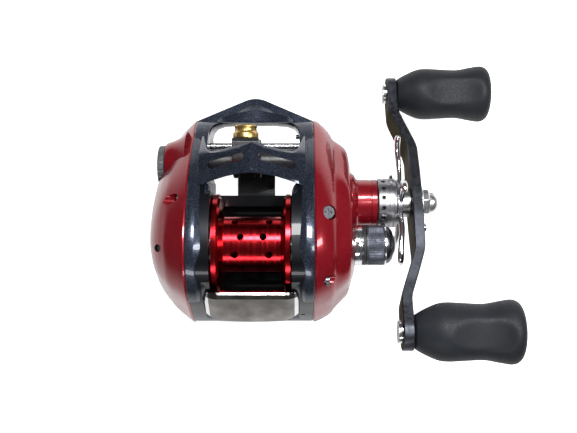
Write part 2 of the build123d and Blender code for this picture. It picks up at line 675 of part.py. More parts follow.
def make_clutch_cam():
    """The ring round the pinion bearing whose ramps lift the yoke."""
    cam = rod(14.5, 15.3, 8.0, SPOOL_AXIS, 6.45)
    centre = Pos(0, *SPOOL_AXIS)
    for angle in (56, 236):
        top = 15.3 + YOKE_LIFT
        wedge = [(-1.72, 15.25), (-1.72 - 1.13, top), (-4.4, top), (-4.4, 15.25)]
        plane = Plane(origin=(0, 6.5, 0), x_dir=(0, 0, 1), z_dir=(0, 1, 0))
        face = plane * make_face(Polyline(*[(t, x) for t, x in wedge], close=True))
        cam += centre * Rot(angle, 0, 0) * extrude(face, 1.4)
    start = cam_angle(LINK_PIN[0])
    arm = Pos(14.9, *SPOOL_AXIS) * Rot(degrees(start), 0, 0) * Pos(0, 13.9, 0) * Box(0.8, 13.8, 3.6)
    fork = Pos(14.9, *SPOOL_AXIS) * Rot(degrees(start), 0, 0) * Pos(0, 18.5, 0) * Box(2, 5.6, 1.9)
    return cam + arm - fork


def cam_angle(s):
    y, z = thumb_place(s, LINK_PIN[1])
    return atan2(z - SPOOL_AXIS[1], y - SPOOL_AXIS[0]) % (2 * pi)


def make_thumb_bar():
    """The bar pressed down behind the spool, with the lug and pin that reach the clutch cam."""
    section = [(-2.8, 16.7), (-3.0, 18.0), (-1.2, 18.9), (4.0, 19.5),
               (9.5, 19.9), (10.9, 19.2), (10.9, 16.7)]
    bar = thumb_slab(section, -13.6, 13.6)
    bar = soften(bar, [0.9, 0.6, 0.4], lambda e: True)
    bar += thumb_slab([(6.0, 13.9), (10.8, 13.9), (10.8, 17.2), (6.0, 17.2)], -10.9, 10.9)
    bar += thumb_slab([(10.3, 11.7), (13.8, 11.7), (13.8, 16.4), (10.3, 16.4)], -10.9, 10.9)
    pin = rod(10.0, 15.6, 0.75, thumb_place(*LINK_PIN))
    return bar + pin


# ---- star drag, handle and knobs ----------------------------------------------------------
STAR_ARMS = 5
STAR_HUB_R = 7.4
STAR_PHASE = radians(-2)
ARM_EYE_R = 5.3


def hexagon(x0, x1, across, at, turn=0.0):
    """A hexagonal bar, across is the distance over its corners."""
    return slab([polar(at, across / 2, turn + k * pi / 3) for k in range(6)], x0, x1)


def make_star_drag():
    """A hollow hub with ventilation holes and five swept arms."""
    star = rod(37.4, 43.2, STAR_HUB_R, DRIVE_AXIS) + rod(43.1, 44.8, 6.4, DRIVE_AXIS)
    star -= rod(37.0, 40.3, 5.7, DRIVE_AXIS)
    star -= hexagon(39.0, 43.2, 9.5, DRIVE_AXIS)
    star -= rod(37.0, 46.0, SHAFT_R + 0.15, DRIVE_AXIS)
    for k in range(15):
        y, z = polar(DRIVE_AXIS, 6.3, radians(24 * k + 6))
        hole = Pos(39.0, y, z) * Rot(24 * k + 6, 0, 0) * Rot(90, 0, 0) * Cylinder(0.65, 3.4)
        star -= hole
    for k in range(STAR_ARMS):
        star += star_arm(STAR_PHASE + 2 * pi * k / STAR_ARMS)
    return star


def star_arm(angle):
    """One arm: it leaves the hub, sweeps sideways and bends inward near its tip."""
    points = [polar(DRIVE_AXIS, r, angle + a) for r, a in (
        (5.6, -0.42), (10.0, -0.24), (14.5, -0.10), (19.0, 0.02), (20.2, 0.10),
        (19.6, 0.20), (15.0, 0.14), (10.5, 0.10), (5.6, 0.42))]
    inner = slab(points, 43.3, 45.0)
    tip = slab(points, 42.75, 44.5) - rod(42, 47, 13.2, DRIVE_AXIS)
    return (inner & rod(43, 46, 16.0, DRIVE_AXIS)) + tip


def make_star_nut():
    return hexagon(40.35, 42.4, 9.3, DRIVE_AXIS) - rod(39, 44, SHAFT_R + GAP, DRIVE_AXIS)


def make_spring_washers():
    """Two washers between the clutch sleeve and the star nut."""
    return [rod(start, start + 0.72, 5.0, DRIVE_AXIS, SHAFT_R + 0.12) for start in (38.68, 39.5)]


def make_handle_spacer():
    return rod(44.95, HANDLE_OUT - 0.1, 4.4, DRIVE_AXIS) - keyed_bore(44.9, HANDLE_OUT)


def along_handle(shape):
    """Places a shape drawn with its length on Y and its thickness on X."""
    return Pos(0, *DRIVE_AXIS) * Rot(degrees(HANDLE_TILT), 0, 0) * shape


def make_handle_arm():
    inner = [(-50, HANDLE_IN), (-32, HANDLE_IN), (-18.5, HANDLE_OUT),
             (18.5, HANDLE_OUT), (32, HANDLE_IN), (50, HANDLE_IN)]
    outer = [(t, x + ARM_THICK) for t, x in reversed(inner)]
    side = make_face(Polyline(*[(x, t) for t, x in inner + outer], close=True))
    strip = extrude(side, 8, both=True)
    h = HANDLE_HALF
    half = [(0, 7.4), (7.5, 7.0), (18.0, 5.2), (28.0, 4.5), (36.0, 4.6), (h, ARM_EYE_R)]
    top_points = [(-t, w) for t, w in reversed(half)] + half[1:]
    top = Spline(*top_points, tangents=[(1, 0), (1, 0)])
    low = Spline(*[(-t, -w) for t, w in top_points], tangents=[(-1, 0), (-1, 0)])
    ends = [ThreePointArc((h, ARM_EYE_R), (h + ARM_EYE_R, 0), (h, -ARM_EYE_R)),
            ThreePointArc((-h, -ARM_EYE_R), (-h - ARM_EYE_R, 0), (-h, ARM_EYE_R))]
    plane = Plane(origin=(40, 0, 0), x_dir=(0, 1, 0), z_dir=(1, 0, 0))
    plan = extrude(plane * make_face([top, ends[0], low, ends[1]]), 14)
    arm = strip & plan
    arm = along_handle(arm)
    arm -= keyed_bore(47.0, 51.0)
    for place in KNOB_AXES:
        arm -= rod(42, 47, 2.0, place)
    return arm


def make_handle_nut():
    nut = hexagon(50.62, 53.4, 8.6, DRIVE_AXIS, 0.3) + rod(50.62, 51.2, 4.8, DRIVE_AXIS)
    steps = [(52.0, 0), (52.0, 3.3), (53.9, 3.3), (55.2, 2.8), (56.1, 1.6), (56.4, 0)]
    nut += revolve_about_x(steps, DRIVE_AXIS)
    return nut - rod(50, 54.9, 2.27, DRIVE_AXIS)


def make_nut_lock():
    """The small plate and screw that stop the handle nut from turning."""
    place = polar(DRIVE_AXIS, 8.6, HANDLE_TILT)
    plate = slab([polar(place, 1.9, a * pi / 4) for a in range(8)], 50.55, 51.1)
    return screw(51.9, 1, place, 0.6, 1.3, 0.7, 0.75) + plate


KNOB_AXES = [polar(DRIVE_AXIS, HANDLE_HALF, HANDLE_TILT + turn) for turn in (pi, 0)]   # front, rear


def make_spindles():
    made = []
    for at in KNOB_AXES:
        pin = rod(41.4, HANDLE_IN, 3.2, at) + rod(HANDLE_IN, 45.7, 1.98, at) + rod(45.7, 70.6, 1.9, at)
        slot = block((41, 41.9), (at[0] - 2.0, at[0] + 2.0), (at[1] - 0.35, at[1] + 0.35))
        made.append(pin - slot)
    return made


KNOB_PROFILE = [           # x from the knob's inner end, radius
    (0.0, 4.0), (0.4, 4.9), (3.0, 6.4), (6.5, 8.0), (9.5, 8.3), (14.0, 8.1), (19.5, 7.9), (24.0, 8.7),
    (27.5, 9.1), (29.6, 8.2), (30.4, 5.8), (KNOB_LENGTH, 4.0),
]


def make_knob(at):
    """A waisted grip turned about its spindle, with a shallow facet above and below."""
    end = KNOB_LENGTH
    closing = Polyline((end, 4.0), (end, 0), (0, 0), (0, 4.0))
    knob = Pos(KNOB_START, 0, 0) * revolve(make_face([Spline(*KNOB_PROFILE), closing]), Axis.X)
    knob -= rod(40, 73.6, 3.3, (0, 0))
    for side in (-1, 1):
        knob -= Pos(KNOB_START + 18.0, 0, side * 27.0) * Rot(90, 0, 0) * Cylinder(20.4, 40)
    return Pos(0, *at) * knob


def make_knob_bushes():
    return [rod(a, b, 3.27, at, 1.95) for at in KNOB_AXES for a, b in ((46.3, 49.5), (66.0, 69.5))]


def make_knob_screws():
    made = []
    for y, z in KNOB_AXES:
        head = rod(70.65, 72.2, 2.7, (y, z))
        made.append(head - block((71.7, 73), (y - 1.8, y + 1.8), (z - 0.3, z + 0.3)))
    return made


# ---- cast control -------------------------------------------------------------------------
def make_cast_cap():
    """A knurled cap over the threaded socket, domed at its end."""
    start, rim = CAP_END - 2.6, CAP_R - 0.3
    cap = rod(30.0, start, CAP_R, SPOOL_AXIS)
    crown = Spline((start, rim), (CAP_END - 1.0, CAP_R - 1.6), (CAP_END, 0), tangents=[(1, -0.2), (0, -1)])
    face = make_face([crown, Polyline((CAP_END, 0), (start, 0), (start, rim))])
    cap += Pos(0, *SPOOL_AXIS) * revolve(face, Axis.X)
    cap -= rod(29, 36.4, 5.4, SPOOL_AXIS)
    cap -= rod(36, 38.8, 3.6, SPOOL_AXIS)
    cap -= rod(32.4, 33.4, 8, SPOOL_AXIS, 5.72)
    for k in range(30):
        cap -= rod(34.4, 38.4, 0.28, polar(SPOOL_AXIS, CAP_R + 0.08, 2 * pi * k / 30))
    return cap


def make_cap_ring():
    return rod(32.45, 33.35, 5.95, SPOOL_AXIS, 5.74)


def make_tension_pad():
    """The pad at the end of the spool shaft, pressed by the cap."""
    return rod(36.9, 38.3, 3.3, SPOOL_AXIS)


def make_spool_bearings():
    """Two identical ball bearings, one in the brake plate and one in the cast control socket."""
    in_plate = bearing(-17.3, -13.5, 3.95, 1.55, SPOOL_AXIS, 6)
    return in_plate + bearing(25.6, 29.4, 3.95, 1.55, SPOOL_AXIS, 6)


# ---- level wind ---------------------------------------------------------------------------
WORM_R = 2.4
SHIELD_R = 3.9


def make_worm_shaft():
    shaft = rod(-15.5, 15.6, 1.6, WORM_AXIS) + rod(-13.6, 13.6, WORM_R, WORM_AXIS)
    y, z = WORM_AXIS
    square = rod(15.6, 17.9, 1.5, WORM_AXIS) & block((15, 18), (y - 2, y + 2), (z - 1.1, z + 1.1))
    return shaft + square


def make_worm_cog():
    turned = WIND_PHASE + pi + pi / WIND_COG_TEETH
    cog = gear(16.1, 17.6, WIND_COG_TEETH, WIND_MODULE, WORM_AXIS, turned)
    y, z = WORM_AXIS
    for k in range(5):
        cog -= rod(16, 18, 0.9, polar(WORM_AXIS, 3.6, 2 * pi * k / 5))
    return cog - (rod(15, 19, 1.54, WORM_AXIS) & block((14, 20), (y - 2, y + 2), (z - 1.14, z + 1.14)))


def make_worm_shield():
    """The trough round the worm, open below for the pawl."""
    y, z = WORM_AXIS
    tube = rod(-13.8, 13.8, SHIELD_R, WORM_AXIS, 3.25)
    return tube - block((-12.8, 12.8), (y - 2.2, y + 2.2), (z - 6, z))


def make_guide_rod():
    return rod(-15.1, 15.1, 1.0, GUIDE_ROD_AXIS)


def make_carriage():
    """The line guide's carriage: a collar on the shield, an eye on the guide rod and the ring holder."""
    y, z = WORM_AXIS
    x = CARRIAGE_X
    low, high = x - 4.3, x + 4.3
    body = rod(low, high, 5.1, WORM_AXIS)
    body += block((low, high), (y + 1, GUIDE_ROD_AXIS[0] + 1.9), (GUIDE_ROD_AXIS[1] - 1.9, z + 2))
    body += block((low + 0.3, high - 0.3), (y - 1.0, 32.0), (z + 3, GUIDE_RING_AXIS[1] + 4.4))
    body = soften(body, [0.6, 0.4], lambda e: e.center().Z > z + 4)
    body -= rod(low - 1, high + 1, SHIELD_R + GAP, WORM_AXIS)
    body -= rod(low - 1, high + 1, 1.05, GUIDE_ROD_AXIS)
    aperture = Pos(x, 28, GUIDE_RING_AXIS[1]) * Rot(90, 0, 0) * Cylinder(2.6, 16)
    body -= aperture
    down = (Align.CENTER, Align.CENTER, Align.MAX)
    body += Pos(x, y, z - 4.2) * Cylinder(2.9, 2.9, align=down)
    body -= rod(low - 1, high + 1, SHIELD_R + GAP, WORM_AXIS)
    body -= Pos(x, y, z) * Cylinder(1.55, 20, align=down)
    return body - Pos(x, y, z - 5.6) * Cylinder(2.3, 20, align=down)


def make_guide_ring():
    """The smooth ring that the line runs through, lipped at the front."""
    x, z = CARRIAGE_X, GUIDE_RING_AXIS[1]
    profile = [(32.05, 2.5), (32.05, 3.85), (33.7, 3.85), (34.4, 3.3), (35.6, 3.4), (36.0, 3.0),
               (35.6, 2.4), (35.1, 2.1), (32.6, 2.1)]
    face = make_face(Polyline(*[(r, y, 0) for y, r in profile], close=True))
    ring = revolve(face, Axis.Y)
    return Pos(x, 0, z) * ring


def make_line_pawl():
    """The pawl that the worm's groove pushes from side to side."""
    y, z = WORM_AXIS
    down = (Align.CENTER, Align.CENTER, Align.MAX)
    stem = Pos(CARRIAGE_X, y, z - 3.2) * Cylinder(1.5, 2.9, align=down)
    blade = Pos(CARRIAGE_X, y, z - 2.9) * Box(2.2, 0.6, 0.8)
    return stem + blade


def make_pawl_cap():
    down = (Align.CENTER, Align.CENTER, Align.MAX)
    x, (y, z) = CARRIAGE_X, WORM_AXIS
    cap = Pos(x, y, z - 6.15) * Cylinder(2.25, 1.5, align=down)
    return cap - block((x - 1.6, x + 1.6), (y - 0.3, y + 0.3), (z - 9, z - 7.1))


MAKERS = [
    ("frame", make_frame),
    ("level_wind_hood", make_hood),
    ("reel_foot", make_foot),
    ("foot_screws", make_foot_screws),
    ("palm_side_plate", make_palm_plate),
    ("oil_port_plug", make_oil_port),
    ("gear_side_plate", make_gear_plate),
    ("plate_screws", make_plate_screws),
    ("brake_plate", make_brake_plate),
    ("brake_plate_screws", make_brake_screws),
    ("magnet_carrier", make_magnet_carrier),
    ("brake_magnets", make_magnets),
    ("brake_cam_ring", make_cam_ring),
    ("brake_dial", make_dial),
    ("spool", make_spool),
    ("spool_shaft", make_spool_shaft),
    ("spool_pin", lambda: spool_pin_shape(-0.01)),
    ("brake_rotor", make_brake_rotor),
    ("spool_bearings", make_spool_bearings),
    ("drive_shaft", make_drive_shaft),
    ("drive_gear", make_drive_gear),
    ("drag_washers", make_drag_washers),
    ("keyed_washers", make_keyed_washers),
    ("clutch_sleeve", make_clutch_sleeve),
    ("ratchet", make_ratchet),
    ("level_wind_driver", make_wind_driver),
    ("shaft_bushes", make_shaft_bushes),
    ("roller_clutch", make_roller_clutch),
    ("drive_bearing", make_drive_bearing),
    ("anti_reverse_pawl", make_pawl),
    ("pinion_gear", make_pinion),
    ("pinion_bearing", make_pinion_bearing),
    ("yoke", make_yoke),
    ("yoke_springs", make_yoke_springs),
    ("post_clips", make_post_clips),
    ("clutch_cam", make_clutch_cam),
    ("thumb_bar", make_thumb_bar),
    ("star_drag", make_star_drag),
    ("star_nut", make_star_nut),
    ("spring_washers", make_spring_washers),
    ("handle_spacer", make_handle_spacer),
    ("handle_arm", make_handle_arm),
    ("handle_nut", make_handle_nut),
    ("nut_lock", make_nut_lock),
    ("knob_spindles", make_spindles),
    ("knob_front", lambda: make_knob(KNOB_AXES[0])),
    ("knob_rear", lambda: make_knob(KNOB_AXES[1])),
    ("knob_bushes", make_knob_bushes),
    ("knob_screws", make_knob_screws),
    ("cast_control_cap", make_cast_cap),
    ("cap_o_ring", make_cap_ring),
    ("tension_pad", make_tension_pad),
    ("worm_shaft", make_worm_shaft),
    ("worm_cog", make_worm_cog),
    ("worm_shield", make_worm_shield),
    ("guide_rod", make_guide_rod),
    ("line_guide_carriage", make_carriage),
    ("line_guide_ring", make_guide_ring),
    ("line_pawl", make_line_pawl),
    ("pawl_cap", make_pawl_cap),
]


def main():
    os.makedirs("parts", exist_ok=True)
    for name, maker in MAKERS:
        add(name, maker())
        export_step(parts[name], f"parts/{name}.step")


main()
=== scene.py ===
import json
import math

import bmesh
import bpy
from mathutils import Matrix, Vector


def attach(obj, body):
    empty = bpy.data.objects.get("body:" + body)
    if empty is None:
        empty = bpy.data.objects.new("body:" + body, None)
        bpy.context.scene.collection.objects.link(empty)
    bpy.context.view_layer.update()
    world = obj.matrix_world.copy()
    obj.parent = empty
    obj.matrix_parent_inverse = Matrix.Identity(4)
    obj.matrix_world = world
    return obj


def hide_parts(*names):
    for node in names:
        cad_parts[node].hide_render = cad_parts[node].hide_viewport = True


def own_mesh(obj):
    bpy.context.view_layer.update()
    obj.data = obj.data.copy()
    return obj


MM = 0.001

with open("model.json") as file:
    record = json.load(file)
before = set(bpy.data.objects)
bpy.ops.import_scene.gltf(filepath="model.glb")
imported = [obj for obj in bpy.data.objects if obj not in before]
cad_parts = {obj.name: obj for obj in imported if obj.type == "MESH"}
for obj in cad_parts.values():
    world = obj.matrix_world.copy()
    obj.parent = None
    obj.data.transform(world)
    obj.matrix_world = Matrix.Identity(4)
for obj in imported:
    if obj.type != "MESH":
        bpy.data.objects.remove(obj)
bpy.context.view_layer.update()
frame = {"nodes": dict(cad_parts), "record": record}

# ---- shared places, in millimetres, as in the solids -----------------------------------------
HALF_WIDTH = 18.2
SPOOL_AXIS = (0.0, 24.5)
DRIVE_AXIS = (math.sqrt(14.4 ** 2 - 49.0), 17.5)
WORM_AXIS = (DRIVE_AXIS[0] + math.sqrt(13.8 ** 2 - 4.8 ** 2), 12.7)
DIAL_AXIS = (24.0, 15.0)
CARRIAGE_X = -2.3
RING_Z = 21.0
GUIDE_ROD = (30.6, 9.6)
CENTRE = (5.0, 20.0)
HANDLE_TILT = math.radians(149)
HANDLE_HALF = 42.5
ARM_THICK = 3.1
FRAME_EDGE = 18.16         # just inside HALF_WIDTH, where the overlays on the frame stop
# painted shade: within this distance of the spool's axis the frame's paint is darkened to near black
WELL_RADIUS = 20.0
FLOOR_Z = -36.0            # below the swing of the knobs
SCREWS = [(33.6, 9.0), (-19.6, 12.0)]
THUMB = (-0.53, -0.848)
OUTLINE = [
    (-2.7, 42.5), (9.0, 40.0), (20.0, 33.0), (30.0, 22.2), (38.3, 9.6), (35.5, 3.6), (20.0, 1.2),
    (0.0, 1.0), (-15.0, 3.0), (-23.2, 9.0), (-23.4, 16.5), (-19.6, 26.0), (-12.8, 37.2),
]


# ---- materials --------------------------------------------------------------------------------
def node_tree(name):
    """A new material, with its node tree and its shader node."""
    mat = bpy.data.materials.new(name)
    mat.use_nodes = True
    tree = mat.node_tree
    shader = tree.nodes["Principled BSDF"]
    return mat, tree, shader


def set_inputs(shader, **values):
    """Sets shader inputs by name, with _ for a space."""
    for name, value in values.items():
        shader.inputs[name.replace("_", " ")].default_value = value


def object_coords(tree, stretch=(1, 1, 1)):
    """Object coordinates in metres, scaled axis by axis."""
    coords = tree.nodes.new("ShaderNodeTexCoord")
    mapping = tree.nodes.new("ShaderNodeMapping")
    mapping.inputs["Scale"].default_value = stretch
    tree.links.new(coords.outputs["Object"], mapping.inputs["Vector"])
    return mapping.outputs["Vector"]


def noise(tree, vector, scale, detail=3.0):
    """The value of a noise texture, about 0.5 on average."""
    node = tree.nodes.new("ShaderNodeTexNoise")
    node.inputs["Scale"].default_value = scale
    node.inputs["Detail"].default_value = detail
    tree.links.new(vector, node.inputs["Vector"])
    return node.outputs["Fac"]


def ramp(tree, value, low, high, a, b):
    """Maps value between low and high onto a to b."""
    node = tree.nodes.new("ShaderNodeMapRange")
    node.inputs["From Min"].default_value = low
    node.inputs["From Max"].default_value = high
    node.inputs["To Min"].default_value = a
    node.inputs["To Max"].default_value = b
    tree.links.new(value, node.inputs["Value"])
    return node.outputs["Result"]


def bump(tree, shader, height, strength, distance):
    """Bends the shading normal by a height; distance is in metres."""
    node = tree.nodes.new("ShaderNodeBump")
    node.inputs["Strength"].default_value = strength
    node.inputs["Distance"].default_value = distance
    tree.links.new(height, node.inputs["Height"])
    tree.links.new(node.outputs["Normal"], shader.inputs["Normal"])


def mixed_colour(tree, factor, a, b):
    """Colour a where factor is 0 and b where it is 1."""
    node = tree.nodes.new("ShaderNodeMix")
    node.data_type = "RGBA"
    node.inputs[6].default_value = (*a, 1)
    node.inputs[7].default_value = (*b, 1)
    tree.links.new(factor, node.inputs[0])
    return node.outputs[2]


def flake_paint(name, dark, bright, metallic, flake, roughness=0.3, coat=0.6):
    """Metallic paint: random flakes vary the colour and the gloss under a clear coat."""
    mat, tree, shader = node_tree(name)
    vector = object_coords(tree)
    cells = tree.nodes.new("ShaderNodeTexVoronoi")
    cells.inputs["Scale"].default_value = 7000
    tree.links.new(vector, cells.inputs["Vector"])
    grey = tree.nodes.new("ShaderNodeRGBToBW")
    tree.links.new(cells.outputs["Color"], grey.inputs["Color"])
    sparkle = ramp(tree, grey.outputs["Val"], 0.55, 0.95, 0.0, flake)
    tree.links.new(mixed_colour(tree, sparkle, dark, bright), shader.inputs["Base Color"])
    haze = noise(tree, vector, 90)
    gloss = ramp(tree, haze, 0.3, 0.7, roughness - 0.06, roughness + 0.08)
    tree.links.new(gloss, shader.inputs["Roughness"])
    set_inputs(shader, Metallic=metallic, Coat_Weight=coat, Coat_Roughness=0.05, Specular_IOR_Level=0.3)
    ripple = noise(tree, vector, 420, 2)
    bump(tree, shader, ripple, 0.05, 0.00012)
    return mat


def metal(name, colour, roughness, lines=(1, 1, 1), line_scale=900, strength=0.06, dark=None):
    """Bare or anodised metal with fine tool lines along one direction."""
    mat, tree, shader = node_tree(name)
    fine = noise(tree, object_coords(tree, lines), line_scale, 5)
    gloss = ramp(tree, fine, 0.3, 0.7, roughness * 0.75, roughness * 1.3)
    tree.links.new(gloss, shader.inputs["Roughness"])
    # noise mottles the colour towards the darker tone: random wear on most metals, and on the thumb bar's
    # chrome a painted reflection of its dark surroundings
    wear_and_reflection = noise(tree, object_coords(tree), 160)
    tone = ramp(tree, wear_and_reflection, 0.35, 0.75, 0.0, 1.0)
    shade = dark or [c * 0.78 for c in colour]
    tree.links.new(mixed_colour(tree, tone, colour, shade), shader.inputs["Base Color"])
    set_inputs(shader, Metallic=1.0)
    bump(tree, shader, fine, strength, 0.00008)
    return mat


def soft(name, colour, roughness, grain=1500, strength=0.25, specular=0.5):
    """Rubber or moulded plastic with a fine grain."""
    mat, tree, shader = node_tree(name)
    vector = object_coords(tree)
    fine = noise(tree, vector, grain, 4)
    blotch = noise(tree, vector, 120)
    lighter = [c * 1.7 for c in colour]
    tone = ramp(tree, blotch, 0.3, 0.75, 0.0, 1.0)
    tree.links.new(mixed_colour(tree, tone, colour, lighter), shader.inputs["Base Color"])
    gloss = ramp(tree, fine, 0.3, 0.7, roughness - 0.08, roughness + 0.1)
    tree.links.new(gloss, shader.inputs["Roughness"])
    set_inputs(shader, Specular_IOR_Level=specular)
    bump(tree, shader, fine, strength, 0.00006)
    return mat


def shade_well(mat):
    """Painted shade: darkens the frame's paint to near black within WELL_RADIUS of the spool's axis, where
    the well round the spool lies in shadow.
    """
    tree = mat.node_tree
    colour = tree.nodes["Principled BSDF"].inputs["Base Color"]
    away = tree.nodes.new("ShaderNodeVectorMath")
    away.operation = "DISTANCE"
    tree.links.new(object_coords(tree, (0, 1, 1)), away.inputs[0])
    away.inputs[1].default_value = (0, SPOOL_AXIS[0] * MM, SPOOL_AXIS[1] * MM)
    node = tree.nodes.new("ShaderNodeMix")
    node.data_type = "RGBA"
    # near-black colour of the painted shade in the well round the spool
    node.inputs[6].default_value = (0.004, 0.005, 0.007, 1)
    tree.links.new(colour.links[0].from_socket, node.inputs[7])
    share = ramp(tree, away.outputs["Value"], WELL_RADIUS * MM, (WELL_RADIUS + 2) * MM, 0.0, 1.0)
    tree.links.new(share, node.inputs[0])
    tree.links.new(node.outputs[2], colour)


GUNMETAL = flake_paint("gunmetal_flake", (0.014, 0.018, 0.029), (0.12, 0.15, 0.23), 0.6, 0.7, 0.26)
# the frame's paint; shade_well below adds painted shade to it in the well round the spool
FRAME_PAINT_WELL_SHADE = flake_paint("frame_paint_well_shade", (0.014, 0.018, 0.029), (0.12, 0.15, 0.23), 0.6, 0.7, 0.34, 0.3)
RED = flake_paint("red_flake", (0.21, 0.003, 0.009), (0.50, 0.03, 0.05), 0.4, 0.3, 0.26, 0.6)
RED_ANODISED = metal(
    "red_anodised", (0.55, 0.018, 0.026), 0.2, (9000, 40, 40), 0.3, 0.1, (0.38, 0.01, 0.014))
CHROME = metal("chrome", (0.80, 0.81, 0.83), 0.14, (1, 1, 1), 300, 0.02)
# painted reflection: the thumb bar's chrome gets a dark grey base, mottled darker still, standing in for
# the dark surroundings it mirrors
THUMB_CHROME_PAINTED_REFLECTION = metal("thumb_chrome_painted_reflection", (0.25, 0.235, 0.22), 0.15, (1, 1, 1), 260, 0.03, (0.07, 0.066, 0.062))
BRIGHT_NICKEL = metal("bright_nickel", (0.92, 0.93, 0.94), 0.3, (1, 1, 1), 400, 0.02)
SATIN = metal("satin_metal", (0.36, 0.36, 0.38), 0.34, (6, 1, 1), 900, 0.02)
STEEL = metal("steel", (0.52, 0.53, 0.55), 0.28, (1, 1, 8), 800, 0.05)
BRASS = metal("brass", (0.66, 0.45, 0.16), 0.34, (1, 6, 1), 700, 0.06)
HANDLE_FACE = metal("handle_face", (0.10, 0.095, 0.086), 0.4, (1, 1, 5), 500, 0.05)
HANDLE_EDGE = metal("handle_edge", (0.075, 0.08, 0.095), 0.42, (1, 1, 1), 900, 0.12)
DARK_METAL = metal("dark_metal", (0.13, 0.135, 0.15), 0.3, (6, 1, 1), 900, 0.05)
GREY_METAL = metal("grey_metal", (0.10, 0.105, 0.13), 0.45, (1, 1, 1), 1100, 0.08)
RUBBER = soft("knob_rubber", (0.009, 0.0105, 0.0135), 0.55, 1700, 0.2, 0.3)
BLACK_RUBBER = soft("black_rubber", (0.012, 0.012, 0.013), 0.5)
PLASTIC = soft("black_plastic", (0.012, 0.012, 0.014), 0.36, 1100, 0.15)
DIAL_PLASTIC = soft("dial_plastic", (0.05, 0.052, 0.057), 0.45, 1300, 0.2)
CARBON = soft("carbon", (0.03, 0.03, 0.032), 0.5)

# painted shade: the frame's paint goes near black in the well round the spool
shade_well(FRAME_PAINT_WELL_SHADE)
set_inputs(HANDLE_FACE.node_tree.nodes["Principled BSDF"], Specular_Tint=(0.30, 0.28, 0.25, 1))

BY_SLOT = {
    "gunmetal": GUNMETAL,
    "red_shell": RED,
    "red_anodised": RED_ANODISED,
    "chrome": CHROME,
    "satin_metal": SATIN,
    "steel": STEEL,
    "gear_brass": BRASS,
    "guide_brass": BRASS,
    "handle_grey": HANDLE_EDGE,
    "black_rubber": BLACK_RUBBER,
    "black_plastic": PLASTIC,
    "carbon": CARBON,
    "dark_cap": DARK_METAL,
    "magnet": STEEL,
}
BY_NODE = {"frame": FRAME_PAINT_WELL_SHADE, "plate_screws": DARK_METAL, "brake_dial": DIAL_PLASTIC}
NODE_SLOT = {part["node"]: part["material_slot"] for part in frame["record"]["subparts"]}


def paint_cad_nodes():
    """Gives each solid the paint of its slot, or its own where BY_NODE names one."""
    for name, obj in frame["nodes"].items():
        obj.data.materials.clear()
        obj.data.materials.append(BY_NODE.get(name) or BY_SLOT[NODE_SLOT[name]])


paint_cad_nodes()


# ---- mesh helpers -----------------------------------------------------------------------------
def build(name, points, faces, material, body, smooth=40):
    """A mesh from points in millimetres. Edges sharper than smooth degrees stay crisp."""
    mesh = bpy.data.meshes.new(name)
    mesh.from_pydata([(x * MM, y * MM, z * MM) for x, y, z in points], [], faces)
    mesh.update()
    bm = bmesh.new()
    bm.from_mesh(mesh)
    bmesh.ops.remove_doubles(bm, verts=bm.verts, dist=2e-6)
    bmesh.ops.recalc_face_normals(bm, faces=bm.faces)
    bm.to_mesh(mesh)
    bm.free()
    return place(name, mesh, material, body, smooth)


def place(name, mesh, material, body, smooth=40):
    """Puts a mesh in the scene as a painted piece that rides on a body."""
    mesh.polygons.foreach_set("use_smooth", [True] * len(mesh.polygons))
    mesh.set_sharp_from_angle(angle=math.radians(smooth))
    obj = bpy.data.objects.new(name, mesh)
    bpy.context.scene.collection.objects.link(obj)
    mesh.materials.append(material)
    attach(obj, body)
    return obj


def bevel(obj, width, segments=3, angle=35):
    """Rounds the edges that turn by more than angle degrees; width is in millimetres."""
    mod = obj.modifiers.new("bevel", "BEVEL")
    mod.width = width * MM
    mod.segments = segments
    mod.limit_method = "ANGLE"
    mod.angle_limit = math.radians(angle)
    mod.harden_normals = True
    return obj


def carve(obj, cutters):
    """Cuts each cutter out of obj and throws the cutters away."""
    for shape in cutters:
        mod = obj.modifiers.new("cut", "BOOLEAN")
        mod.operation = "DIFFERENCE"
        mod.solver = "EXACT"
        mod.object = shape
    graph = bpy.context.evaluated_depsgraph_get()
    cut = bpy.data.meshes.new_from_object(obj.evaluated_get(graph))
    obj.modifiers.clear()
    obj.data = cut
    for shape in cutters:
        bpy.data.objects.remove(shape)
    return obj


def resmooth(obj, angle):
    """Smooth shading after a cut, with edges sharper than angle degrees kept crisp."""
    obj.data.polygons.foreach_set("use_smooth", [True] * len(obj.data.polygons))
    obj.data.set_sharp_from_angle(angle=math.radians(angle))


def cutter(points, faces):
    """A closed shape that carve() takes away, from points in millimetres."""
    mesh = bpy.data.meshes.new("cutter")
    mesh.from_pydata([(x * MM, y * MM, z * MM) for x, y, z in points], [], faces)
    bm = bmesh.new()
    bm.from_mesh(mesh)
    bmesh.ops.recalc_face_normals(bm, faces=bm.faces)
    bm.to_mesh(mesh)
    bm.free()
    obj = bpy.data.objects.new("cutter", mesh)
    bpy.context.scene.collection.objects.link(obj)
    return obj


def grid_faces(rows, columns, closed_rows=False, closed_columns=False):
    """Faces of a rows by columns grid of points stored row by row."""
    faces = []
    for i in range(rows if closed_rows else rows - 1):
        for j in range(columns if closed_columns else columns - 1):
            a, b = i * columns + j, i * columns + (j + 1) % columns
            c, d = (i + 1) % rows * columns + (j + 1) % columns, (i + 1) % rows * columns + j
            faces.append((a, b, c, d))
    return faces


def tube_faces(rows, columns):
    """A grid closed round its columns, with both ends capped."""
    faces = grid_faces(rows, columns, closed_columns=True)
    faces.append(tuple(range(columns)))
    faces.append(tuple((rows - 1) * columns + j for j in reversed(range(columns))))
    return faces


